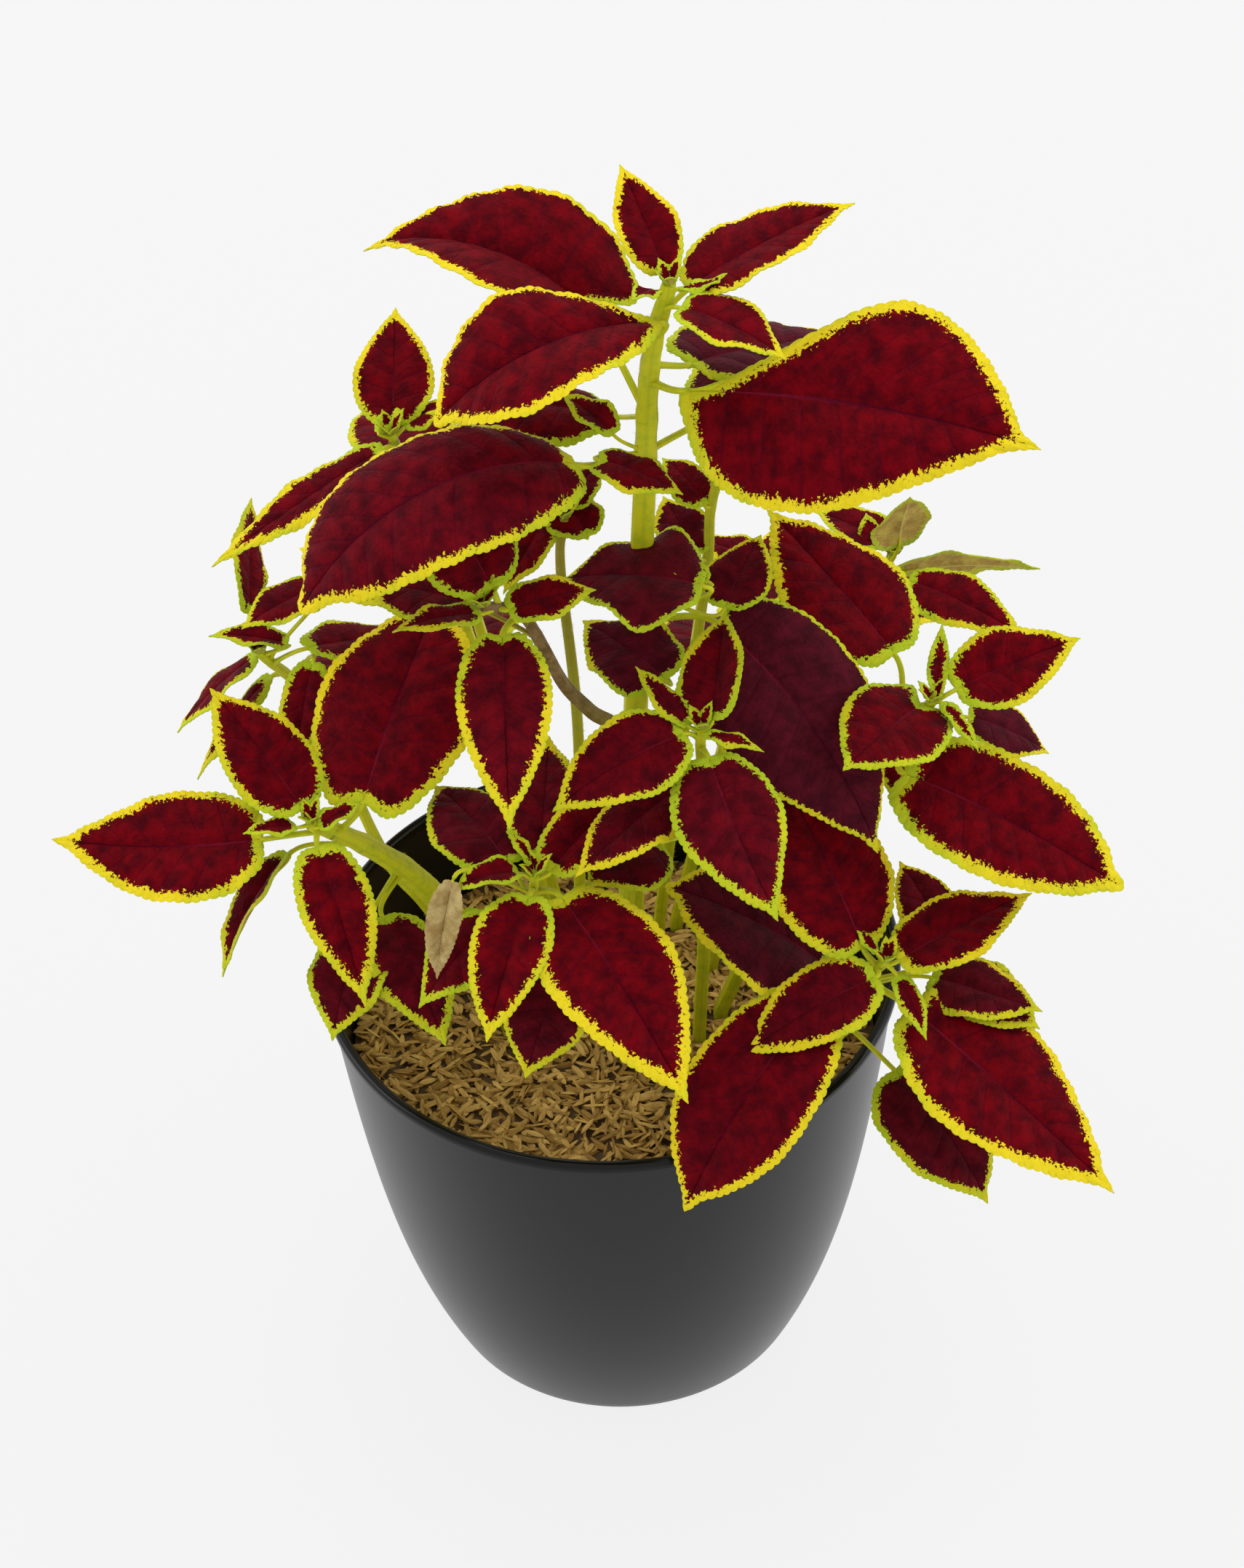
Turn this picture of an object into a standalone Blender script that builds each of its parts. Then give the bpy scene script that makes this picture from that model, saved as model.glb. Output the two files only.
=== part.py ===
"""A coleus in its pot, about 170 mm of plastic pot with 290 mm of leafy stems above it.

The pot is a turned shell. It holds the potting mix, a layer of rice hulls, and one upright stem
with the shoots round it. Each leafy stem is one solid: the stem, its petioles and its blades.
Lengths below are millimetres and angles are degrees. The origin is the middle of the pot's base,
-Y is the front and +X the right. Azimuths turn from +X towards +Y, and a rise is above level.
"""

import math
from dataclasses import dataclass

import bmesh
import bpy
import numpy as np
from mathutils.geometry import delaunay_2d_cdt

MM = 0.001

RIM_RADIUS = 100.0
BASE_RADIUS = 67.5
POT_HEIGHT = 169.0
WALL = 2.4
FLOOR = 3.2
LIP_HEIGHT = 5.0
LIP_PROUD = 1.2
DRAIN_RING_RADIUS = 42.0
DRAIN_RADIUS = 6.0
DRAIN_COUNT = 4
POT_SIDES = 32
WALL_RINGS = np.array([6.0, 44.0, 100.0, 162.0])

GAP = 0.35
MULCH_TOP = 131.0
MULCH_DEPTH = 6.0
HULL_LENGTH = 16.0
HULL_WIDTH = 7.0
HULL_HEIGHT = 3.2
HULL_THROWS = 600

STEM_FOOT = 92.0
STEM_HOLE_GAP = 0.6
HOLE_SIDES = 6
BLADE_THICKNESS = 0.8
SCALLOP_PITCH = 21.0
SCALLOP_DEPTH = 1.5
LARGE_BLADE = 76.0
WAVES = 2.0


@dataclass(frozen=True)
class Leaf:
    """One leaf. The petiole leaves the stem at height node and has a length, an azimuth and a rise.
    The blade has a mean azimuth and rise, a length and a width. It turns down by droop in all,
    folds up at the midrib by fold, bends back by bend towards its margin, rolls and twists about
    its midrib, sweeps sideways, and its margin waves by wave millimetres. heart sets its base lobes,
    widest is where it is widest, as a share of its length, and skew moves its left margin forward
    and its right margin back, as a share of the length. heel and point are the powers that shape
    the outline before and after its widest place: larger ones narrow its base and draw its tip out.
    lee is added to the heel of the left half."""

    node: float
    petiole: tuple
    azimuth: float
    rise: float
    length: float
    width: float
    droop: float = 25.0
    fold: float = 14.0
    bend: float = 30.0
    roll: float = 0.0
    twist: float = 0.0
    sweep: float = 0.0
    wave: float = 1.0
    heart: float = 0.05
    widest: float = 0.36
    skew: float = 0.0
    heel: float = 0.6
    lee: float = 0.0
    point: float = 1.12


@dataclass(frozen=True)
class Stem:
    """One stem: the points that it passes from the soil up, its width at foot and tip, its leaves."""

    path: tuple
    foot: float
    tip: float
    leaves: tuple


STEMS = {
    "main_leafy_stem": Stem(
        path=((6, 10, 131), (10, 10, 240), (16, 7, 355), (19, 6, 405), (25, 4, 433)),
        foot=10.5,
        tip=4.6,
        leaves=(
            Leaf(430, (6, 102, 47), 115, 38, 35, 20, droop=15, fold=20),
            Leaf(424, (10, 307, 28), 332, -15, 35, 24, droop=30, fold=22),
            Leaf(412, (13, 290, 57), 196, -16, 76, 50, droop=62, fold=28, bend=45, roll=-8, heart=0,
                 widest=0.55, heel=1.3, lee=-0.6, point=0.8),
            Leaf(421, (12, 31, 31), 22, 15, 56, 30, droop=20, fold=22),
            Leaf(430, (4, 334, 28), 20, 5, 18, 5, droop=-30),
            Leaf(430, (4, 205, 22), 235, 15, 13, 8, droop=40),
            Leaf(386, (38, 128, 39), 160, 6, 76, 57, droop=74, fold=38, bend=40, roll=-4, heart=0.26,
                 widest=0.25, point=1.5),
            Leaf(398, (15, 310, 15), 353, -9, 108, 70, droop=22, bend=36, roll=39, heart=-0.03,
                 widest=0.46, skew=0.12, lee=1, point=1.3),
            Leaf(404, (13, 20, -14), 38, -18, 74, 44, droop=20, widest=0.3),
            Leaf(372, (28, 218, 17), 200, -18, 102, 54, droop=86, bend=50, roll=-12, widest=0.5,
                 skew=-0.05, point=0.65),
            Leaf(385, (27, 122, -27), 176, 0, 56, 34, droop=30, bend=50),
            Leaf(372, (16, 212, 45), 135, 12, 22, 13, fold=30),
            Leaf(372, (24, 231, 24), 338, -14, 27, 19, fold=10, heart=0.14),
            Leaf(372, (24, 32, 10), 45, -12, 78, 46, droop=35),
            Leaf(308, (40, 312, 44), 168, -4, 45, 47, droop=30, wave=3.4),
            Leaf(297, (28, 287, 11), 133, 5, 38, 31, roll=-8, wave=3),
            Leaf(318, (28, 339, 0), 64, 15, 31, 22),
            Leaf(325, (27, 322, 18), 157, 5, 21, 11, fold=30),
            Leaf(306, (26, 343, 8), 319, -44, 92, 56, droop=48, bend=50, roll=20, heart=0.08),
        ),
    ),
    "left_leafy_stem": Stem(
        path=((-36, 6, 131), (-47, -2, 176), (-61, -17, 219), (-77, -28, 247), (-93, -35, 264)),
        foot=10,
        tip=4.6,
        leaves=(
            Leaf(258, (22, 190, 2), 177, 0, 68, 40, droop=-22, roll=-22),
            Leaf(262, (7, 155, 50), 132, 29, 50, 31, droop=12, fold=18),
            Leaf(256, (13, 21, 47), 68, 26, 76, 55, droop=20, bend=36, heart=0.1, widest=0.46,
                 point=0.85),
            Leaf(262, (8, 272, -20), 288, -28, 55, 24, fold=20),
            Leaf(263, (6, 206, 10), 193, 5, 17, 9, fold=24),
            Leaf(263, (4, 300, 20), 28, 10, 16, 9, fold=24),
            Leaf(248, (24, 183, -5), 231, -37, 46, 21, droop=45, fold=36, roll=32),
            Leaf(232, (26, 240, -20), 252, -30, 38, 27, droop=40, wave=2.6),
            Leaf(230, (20, 250, -12), 300, -34, 48, 27, droop=45, wave=3.0, twist=40),
            Leaf(205, (8, 330, -10), 320, -30, 26, 14, droop=30),
        ),
    ),
    "left_centre_leafy_stem": Stem(
        path=((0, -9, 131), (8, -11, 220), (8, -12, 272), (-3, -14, 288), (-11, -17, 302),
              (-17, -22, 322), (-23, -26, 338), (-34, -30, 344)),
        foot=5.4,
        tip=3.2,
        leaves=(
            Leaf(342, (6, 123, 65), 132, 42, 45, 35, droop=10, fold=12),
            Leaf(342, (4, 319, 14), 17, 0, 28, 17, roll=15),
            Leaf(342, (7, 215, 7), 202, 5, 28, 13, fold=20),
            Leaf(338, (10, 236, -15), 271, -25, 64, 29, fold=22),
            Leaf(325, (23, 164, 24), 160, 0, 40, 27),
            Leaf(343, (3, 137, 57), 70, 40, 10, 4),
        ),
    ),
    "front_leafy_stem": Stem(
        path=((-26, -4, 131), (-27, -28, 190), (-24, -50, 235), (-22, -62, 263)),
        foot=5.6,
        tip=3.2,
        leaves=(
            Leaf(252, (14, 312, 24), 302, -25, 77, 43, fold=16),
            Leaf(252, (14, 264, 35), 250, -30, 48, 26, droop=28, fold=24),
            Leaf(260, (6, 353, 32), 50, 10, 43, 24, droop=15, fold=18),
            Leaf(255, (9, 66, 43), 87, 5, 54, 25, droop=20),
            Leaf(245, (16, 167, 63), 122, 0, 46, 33, droop=35),
            Leaf(258, (9, 215, 51), 200, 0, 22, 13, droop=50, fold=30),
            Leaf(250, (32, 206, 33), 238, -68, 34, 12, droop=20, fold=40, roll=-20),
            Leaf(262, (4, 107, 63), 140, 45, 14, 5),
            Leaf(215, (29, 293, 18), 246, -30, 37, 30, droop=30),
            Leaf(222, (27, 239, 47), 221, -25, 38, 25, droop=35, wave=2),
            Leaf(190, (36, 319, 4), 330, -12, 30, 20, droop=30),
        ),
    ),
    "centre_leafy_stem": Stem(
        path=((30, -5, 131), (33, -2, 190), (34, -8, 222), (34, -21, 248), (31, -34, 284),
              (31, -37, 299)),
        foot=5.4,
        tip=3.2,
        leaves=(
            Leaf(296, (6, 12, 52), 79, 34, 36, 26, droop=8, fold=34, roll=-28),
            Leaf(297, (5, 186, 39), 130, 20, 26, 10, droop=8),
            Leaf(294, (8, 213, 39), 206, -15, 48, 30, droop=30, fold=16, roll=-18),
            Leaf(290, (8, 286, 15), 295, -34, 56, 36, bend=40, sweep=20),
            Leaf(297, (3, 297, 20), 332, 0, 20, 7),
            Leaf(268, (18, 240, 37), 219, -14, 46, 27, droop=20),
            Leaf(226, (45, 241, 39), 210, -10, 28, 34, droop=35),
        ),
    ),
    "right_leafy_stem": Stem(
        path=((38, 6, 131), (58, 14, 176), (84, 6, 232), (105, -15, 288)),
        foot=6.0,
        tip=3.2,
        leaves=(
            Leaf(284, (11, 5, 35), 19, 10, 44, 28, droop=12, roll=22, fold=18),
            Leaf(284, (4, 226, 45), 230, 3, 43, 34, droop=15, roll=-14, heart=0.22),
            Leaf(287, (4, 40, 60), 80, 22, 25, 7, droop=-10),
            Leaf(287, (4, 330, 20), 305, -25, 20, 6, droop=35),
            Leaf(268, (16, 264, -13), 337, -20, 79, 45, droop=18, roll=20, heart=0.08, point=0.7),
            Leaf(262, (29, 91, 60), 129, 22, 66, 46, droop=10),
            Leaf(262, (25, 15, 10), 350, -26, 30, 26, droop=30),
            Leaf(250, (17, 61, -10), 272, -30, 27, 18, droop=20),
        ),
    ),
    "front_right_leafy_stem": Stem(
        path=((30, -24, 131), (52, -40, 167), (74, -53, 197), (89, -58, 216)),
        foot=5.8,
        tip=3.2,
        leaves=(
            Leaf(212, (8, 140, 45), 124, 44, 64, 44, droop=20, fold=12, widest=0.4),
            Leaf(212, (8, 350, 30), 24, 10, 50, 30, droop=15, fold=18),
            Leaf(212, (7, 262, 20), 201, -20, 50, 29, droop=22, roll=-12, fold=18),
            Leaf(206, (19, 335, -22), 321, -25, 87, 52, droop=8),
            Leaf(215, (4, 150, 45), 129, 25, 12, 5),
            Leaf(215, (6, 318, -30), 294, -30, 23, 9, fold=20),
            Leaf(190, (24, 258, 42), 226, -35, 79, 45, droop=40, roll=-8, heart=0.14, widest=0.48,
                 point=0.95),
            Leaf(190, (33, 328, -33), 311, -35, 54, 42, droop=40, wave=1.6),
            Leaf(200, (37, 20, 10), 112, 12, 36, 22),
            Leaf(196, (32, 8, 3), 335, -2, 38, 28, droop=10),
            Leaf(180, (20, 33, 55), 168, 28, 61, 56, droop=30, point=0.8),
            Leaf(186, (46, 5, 12), 322, -8, 36, 28, droop=15),
        ),
    ),
    "rear_left_leafy_stem": Stem(
        path=((-20, 32, 131), (-30, 46, 205), (-42, 54, 280), (-63, 45, 356)),
        foot=5.8,
        tip=3.0,
        leaves=(
            Leaf(352, (6, 100, 60), 88, 28, 42, 26, droop=10),
            Leaf(350, (7, 231, 27), 209, -19, 66, 20, droop=8),
            Leaf(354, (6, 204, 40), 66, 20, 22, 6, droop=-30),
            Leaf(354, (5, 30, 30), 33, 10, 18, 12),
            Leaf(325, (18, 110, 15), 98, -12, 56, 36, droop=35),
        ),
    ),
    "far_left_leafy_stem": Stem(
        path=((-44, 18, 131), (-62, 11, 181), (-72, 12, 197), (-79, 15, 213), (-97, 33, 257),
              (-111, 26, 285)),
        foot=5.4,
        tip=3.0,
        leaves=(
            Leaf(282, (15, 120, 58), 91, 20, 46, 18, roll=62),
            Leaf(280, (34, 6, 55), 214, -6, 30, 21),
            Leaf(278, (6, 181, 30), 203, -36, 37, 20, roll=20),
            Leaf(272, (5, 180, -21), 214, -42, 43, 14, roll=20),
            Leaf(268, (23, 306, 47), 252, -50, 38, 17),
            Leaf(283, (10, 356, 29), 178, 8, 26, 13, fold=30),
            Leaf(235, (34, 83, 5), 104, -16, 48, 32, droop=35),
            Leaf(278, (17, 338, 36), 33, -19, 48, 24, droop=10),
        ),
    ),
    "rear_right_leafy_stem": Stem(
        path=((36, 30, 131), (52, 48, 182), (75, 68, 228), (102, 83, 272)),
        foot=5.6,
        tip=3.0,
        leaves=(
            Leaf(264, (12, 60, 60), 150, 10, 28, 21, fold=24),
            Leaf(266, (15, 318, 66), 292, 74, 27, 22, droop=20),
            Leaf(262, (11, 328, 50), 355, 2, 50, 20, roll=-58),
            Leaf(264, (26, 291, 33), 327, -10, 45, 23, roll=12),
            Leaf(266, (10, 170, 70), 98, 30, 14, 9),
        ),
    ),
    "slender_right_leafy_stem": Stem(
        path=((16, 36, 131), (26, 39, 220), (36, 40, 300), (38, 40, 328), (44, 38, 348)),
        foot=5.0,
        tip=3.0,
        leaves=(
            Leaf(327, (4, 229, 30), 125, 15, 24, 16, droop=50),
            Leaf(345, (8, 20, 30), 30, -5, 42, 26, droop=30),
            Leaf(346, (6, 80, 40), 75, 5, 34, 20, droop=30),
            Leaf(305, (8, 224, 42), 114, 20, 25, 20, wave=2.0),
            Leaf(250, (14, 75, 10), 80, -20, 50, 34, droop=35),
        ),
    ),
    "slender_left_leafy_stem": Stem(
        path=((-12, 22, 131), (-8, 22, 245), (-11, 20, 318), (-9, 16, 342)),
        foot=4.8,
        tip=3.0,
        leaves=(
            Leaf(338, (9, 330, -5), 125, 20, 27, 20, wave=2.0),
            Leaf(334, (7, 150, 50), 240, -20, 31, 15, droop=20),
            Leaf(340, (5, 60, 40), 60, 15, 20, 13),
        ),
    ),
    "back_left_leafy_stem": Stem(
        path=((-16, 46, 131), (-30, 64, 190), (-44, 80, 240), (-52, 88, 266)),
        foot=5.6,
        tip=3.2,
        leaves=(
            Leaf(262, (7, 95, 45), 92, 15, 46, 28, droop=15),
            Leaf(262, (7, 275, 45), 262, 10, 30, 19),
            Leaf(264, (5, 185, 40), 178, 12, 32, 19),
            Leaf(264, (5, 5, 40), 8, 12, 30, 18),
            Leaf(248, (18, 140, 20), 135, -12, 72, 44, droop=30),
            Leaf(225, (20, 105, 10), 106, -28, 74, 46, droop=40),
            Leaf(205, (16, 160, 5), 150, -30, 54, 38, droop=35),
        ),
    ),
    "back_right_leafy_stem": Stem(
        path=((24, 52, 131), (40, 68, 190), (56, 82, 238), (64, 90, 262)),
        foot=5.6,
        tip=3.2,
        leaves=(
            Leaf(252, (7, 70, 30), 72, -5, 40, 27, droop=25),
            Leaf(258, (7, 250, 45), 255, 10, 28, 18),
            Leaf(260, (5, 345, 40), 20, 12, 26, 16),
            Leaf(260, (5, 165, 40), 160, 12, 30, 18),
            Leaf(240, (18, 20, 15), 22, -15, 70, 42, droop=35),
            Leaf(222, (20, 70, 8), 70, -28, 76, 46, droop=40),
            Leaf(200, (16, 10, 5), 5, -22, 54, 36, droop=35),
        ),
    ),
}


def material(name, colour, roughness, metallic=0.0):
    """A plain Principled material."""
    made = bpy.data.materials.new(name)
    made.use_nodes = True
    shader = made.node_tree.nodes["Principled BSDF"]
    shader.inputs["Base Color"].default_value = (*colour, 1.0)
    shader.inputs["Roughness"].default_value = roughness
    shader.inputs["Metallic"].default_value = metallic
    return made


def link(name, mesh, collection):
    made = bpy.data.objects.new(name, mesh)
    collection.objects.link(made)
    return made


def baked(source, name, collection):
    """A mesh object of what source evaluates to, in its place. The source is removed."""
    bpy.context.view_layer.update()
    evaluated = source.evaluated_get(bpy.context.evaluated_depsgraph_get())
    mesh = bpy.data.meshes.new_from_object(evaluated)
    mesh.transform(source.matrix_world)
    work = bmesh.new()
    work.from_mesh(mesh)
    bmesh.ops.remove_doubles(work, verts=work.verts, dist=1e-6)
    bmesh.ops.recalc_face_normals(work, faces=work.faces)
    work.to_mesh(mesh)
    work.free()
    bpy.data.objects.remove(source)
    return link(name, mesh, collection)


def fused(name, pieces, finish, collection, solver="EXACT"):
    """The union of the pieces as one object. The pieces are removed."""
    rest = bpy.data.collections.new(name + "_pieces")
    bpy.context.scene.collection.children.link(rest)
    body = pieces[0]
    for piece in pieces[1:]:
        for holder in piece.users_collection:
            holder.objects.unlink(piece)
        rest.objects.link(piece)
    union = body.modifiers.new("union", "BOOLEAN")
    union.operation = "UNION"
    union.operand_type = "COLLECTION"
    union.collection = rest
    union.solver = solver
    whole = baked(body, name, collection)
    for piece in list(rest.objects):
        bpy.data.objects.remove(piece)
    bpy.data.collections.remove(rest)
    whole.data.materials.clear()
    whole.data.materials.append(finish)
    whole.data.shade_smooth()
    whole.data.set_sharp_from_angle(angle=math.radians(35))
    return whole


def heading(azimuth, rise):
    """Unit vectors for azimuths and rises in degrees."""
    turned, lifted = np.radians(azimuth), np.radians(rise)
    level = np.cos(lifted)
    return np.stack([level * np.cos(turned), level * np.sin(turned), np.sin(lifted)], axis=-1)


def smooth_path(points, per_span):
    """A Catmull-Rom curve through the points: per_span samples a span, and the last point."""
    points = np.asarray(points, float)
    padded = np.vstack([2 * points[0] - points[1], points, 2 * points[-1] - points[-2]])
    share = np.arange(per_span)[:, None] / per_span
    spans = []
    for before, start, end, after in zip(padded, padded[1:], padded[2:], padded[3:]):
        spans.append(
            start
            + share * (end - before) / 2
            + share**2 * (before - 2.5 * start + 2 * end - after / 2)
            + share**3 * (1.5 * start - before / 2 - 1.5 * end + after / 2)
        )
    return np.vstack([*spans, points[-1:]])


def at_height(path, height):
    """The point of a rising path at a height."""
    return np.array([np.interp(height, path[:, 2], path[:, axis]) for axis in range(3)])


def blade_base(stem_path, leaf):
    length, azimuth, rise = leaf.petiole
    return at_height(stem_path, leaf.node) + length * heading(azimuth, rise)


def midrib(leaf, base, share):
    """Points of the midrib at shares of its length, with its heading, side and normal there.
    The heading turns down evenly by the droop, and sideways by the sweep."""
    steps = np.linspace(0, 1, 49)
    along = heading(leaf.azimuth + leaf.sweep * (steps - 0.5), leaf.rise + leaf.droop * (0.5 - steps))
    run = np.vstack([np.zeros(3), np.cumsum((along[1:] + along[:-1]) / 2, axis=0)]) / 48 * leaf.length
    inside = np.clip(share, 0, 1)
    point = base + np.stack([np.interp(inside, steps, run[:, k]) for k in range(3)], axis=-1)
    point = point + np.minimum(share, 0)[..., None] * leaf.length * along[0]
    azimuth = leaf.azimuth + leaf.sweep * (inside - 0.5)
    forward = heading(azimuth, leaf.rise + leaf.droop * (0.5 - inside))
    level = heading(azimuth + 90, np.zeros_like(inside))
    up = np.cross(forward, level)
    turn = np.radians(leaf.roll + leaf.twist * (inside - 0.5))[..., None]
    side = np.cos(turn) * level + np.sin(turn) * up
    normal = np.cos(turn) * up - np.sin(turn) * level
    return point, forward, side, normal


def outline(leaf, share, across):
    """The blade's half width over its greatest, from 0 at the base through 1 to 0 at the tip."""
    inside = np.clip(share, 0, 1)
    heel = leaf.heel + np.where(across > 0, leaf.lee, 0.0)
    rising = np.sin(math.pi / 2 * np.minimum(inside / leaf.widest, 1) ** heel)
    falling = np.cos(math.pi / 2 * np.maximum(inside - leaf.widest, 0) / (1 - leaf.widest))
    return rising * np.maximum(falling, 0) ** leaf.point


def blade_points(leaf, base, share, across, scallop=0.0):
    """Points of the blade. share runs from base to tip, and across from -1 over the midrib to 1.
    A half leaves the midrib at the fold angle and bends back evenly to its margin."""
    out = np.abs(across)
    full = outline(leaf, share, across)
    placed = share - leaf.heart * out**2 * (1 - share) ** 4 + leaf.skew * across * full
    point, _, side, normal = midrib(leaf, base, placed)
    half = leaf.width / 2 * full + scallop
    fold, bend = math.radians(leaf.fold), math.radians(leaf.bend)
    reach = half * (math.sin(fold) - np.sin(fold - bend * out)) / bend
    lift = half * (np.cos(fold - bend * out) - math.cos(fold)) / bend
    phase = leaf.azimuth + np.where(across > 0, 2.0, 0.0)
    lift = lift + leaf.wave * out**2 * full * np.sin(2 * math.pi * WAVES * share + phase)
    return point + (np.sign(across) * reach)[..., None] * side + lift[..., None] * normal


def strip(first, second, near, far):
    """Triangles between two lines of vertices that run side by side, given their shares."""
    faces = []
    i = j = 0
    while i < len(first) - 1 or j < len(second) - 1:
        step_first = j == len(second) - 1 or (i < len(first) - 1 and near[i + 1] <= far[j + 1])
        if step_first:
            faces.append((first[i], second[j], first[i + 1]))
            i += 1
        else:
            faces.append((first[i], second[j], second[j + 1]))
            j += 1
    return [face for face in faces if len(set(face)) == 3]


def blade_object(leaf, base, name, collection):
    """The blade: an open sheet of triangles with a scalloped margin, given its thickness."""
    teeth = int(np.clip(round(leaf.length / SCALLOP_PITCH), 1, 6))
    edge = (np.arange(2 * teeth + 1) / (2 * teeth)) ** 1.15
    inner = np.arange(teeth + 1) / teeth
    tooth = np.where(np.arange(2 * teeth + 1) % 2 == 1, 1.0, -0.3)
    tooth *= min(SCALLOP_DEPTH, leaf.width / 14)
    tooth[[0, -1]] = 0.0
    columns = [(-1.0, edge), (0.0, inner), (1.0, edge)]
    if leaf.length > LARGE_BLADE:
        columns = [(-1.0, edge), (-0.6, inner), (0.0, inner), (0.6, inner), (1.0, edge)]
    sheet = bmesh.new()
    rows = []
    ends = None
    for across, shares in columns:
        scallop = tooth if abs(across) == 1 else 0.0
        points = blade_points(leaf, base, shares, np.full(len(shares), across), scallop) * MM
        if ends is None:
            tip = midrib(leaf, base, np.array([0.0, 1.0]))[0] * MM
            ends = [sheet.verts.new(tip[0]), sheet.verts.new(tip[1])]
        row = [ends[0], *[sheet.verts.new(point) for point in points[1:-1]], ends[1]]
        rows.append((row, shares))
    for (left, near), (right, far) in zip(rows, rows[1:]):
        for face in strip(left, right, near, far):
            sheet.faces.new(face)
    mesh = bpy.data.meshes.new(name)
    sheet.to_mesh(mesh)
    sheet.free()
    flat = link(name, mesh, collection)
    thick = flat.modifiers.new("thickness", "SOLIDIFY")
    thick.thickness = BLADE_THICKNESS * MM
    thick.offset = 0.0
    return baked(flat, name, collection)


def tube(name, points, widths, collection):
    """A four-sided tube along the points, with a width across its corners at each."""
    curve = bpy.data.curves.new(name, "CURVE")
    curve.dimensions = "3D"
    curve.bevel_depth = MM
    curve.bevel_resolution = 0
    curve.use_fill_caps = True
    spline = curve.splines.new("POLY")
    spline.points.add(len(points) - 1)
    for place, point, width in zip(spline.points, points, widths):
        place.co = (*(np.asarray(point) * MM), 1.0)
        place.radius = width / 2
    return baked(link(name, curve, collection), name, collection)


def petiole_object(stem_path, leaf, name, collection):
    """The stalk: from inside the stem, out along its own rise, and on into the blade's midrib."""
    foot = at_height(stem_path, leaf.node)
    base = blade_base(stem_path, leaf)
    length, azimuth, rise = leaf.petiole
    start = heading(azimuth, rise) * length
    into = heading(leaf.azimuth, leaf.rise + leaf.droop / 2)
    middle = foot + 0.55 * start + 0.12 * length * (heading(azimuth, rise) - into)
    sunk = midrib(leaf, base, np.array([0.16]))[0][0]
    width = float(np.clip(1.1 + leaf.length / 60, 1.2, 2.6))
    points = [foot, middle, base, sunk] if length > 30 else [foot, base, sunk]
    widths = [width * 1.2, width, width * 0.9, 0.7] if length > 30 else [width * 1.1, width * 0.9, 0.7]
    return tube(name, points, widths, collection)


def leafy_stem(name, stem, finish, collection):
    path = smooth_path(stem.path, 2)
    above = np.vstack([[*path[0][:2], STEM_FOOT], path])
    shares = np.linspace(0, 1, len(above)) ** 1.5
    widths = stem.foot + (stem.tip - stem.foot) * shares
    pieces = [tube(name + "_stem", above, widths, collection)]
    fine = smooth_path(stem.path, 12)
    for number, leaf in enumerate(stem.leaves):
        label = f"{name}_{number}"
        pieces.append(petiole_object(fine, leaf, label + "_petiole", collection))
        pieces.append(blade_object(leaf, blade_base(fine, leaf), label + "_blade", collection))
    return fused(name, pieces, finish, collection)


def wall_radius(height):
    """The pot's outer radius at a height: gently curved, steeper towards the base."""
    depth = (POT_HEIGHT - height) / POT_HEIGHT
    return RIM_RADIUS + (BASE_RADIUS - RIM_RADIUS) * (0.5 * depth + 0.13 * depth**2 + 0.37 * depth**4)


def inside_radius(height):
    """The radius of the pot's inner face, which runs straight between its rings of vertices."""
    return np.interp(height, WALL_RINGS, wall_radius(WALL_RINGS)) - WALL


def turned(name, profile, collection):
    """A solid turned from a profile of (radius, height) points that starts and ends on the axis."""
    mesh = bpy.data.meshes.new(name)
    points = [(radius * MM, 0.0, height * MM) for radius, height in profile]
    mesh.from_pydata(points, [(k, k + 1) for k in range(len(points) - 1)], [])
    shape = link(name, mesh, collection)
    screw = shape.modifiers.new("turn", "SCREW")
    screw.steps = screw.render_steps = POT_SIDES
    screw.use_merge_vertices = True
    screw.merge_threshold = 1e-5
    return baked(shape, name, collection)


def pin(name, x, y, radius, bottom, top, sides, collection):
    """A cylinder that stands from bottom to top."""
    work = bmesh.new()
    bmesh.ops.create_cone(
        work,
        cap_ends=True,
        segments=sides,
        radius1=radius * MM,
        radius2=radius * MM,
        depth=(top - bottom) * MM,
    )
    mesh = bpy.data.meshes.new(name)
    work.to_mesh(mesh)
    work.free()
    made = link(name, mesh, collection)
    made.location = (x * MM, y * MM, (bottom + top) / 2 * MM)
    return made


def drilled(body, pins, finish, collection, cutters):
    """The body with the pins cut out of it. The pins stay as hidden guides."""
    for number, cutter in enumerate(pins):
        cutter.hide_render = True
        cutter.display_type = "WIRE"
        for holder in cutter.users_collection:
            holder.objects.unlink(cutter)
        cutters.objects.link(cutter)
        cut = body.modifiers.new(f"hole_{number}", "BOOLEAN")
        cut.operation = "DIFFERENCE"
        cut.object = cutter
        cut.solver = "EXACT"
    whole = baked(body, body.name, collection)
    whole.data.materials.clear()
    whole.data.materials.append(finish)
    whole.data.shade_smooth()
    whole.data.set_sharp_from_angle(angle=math.radians(35))
    return whole


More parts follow.
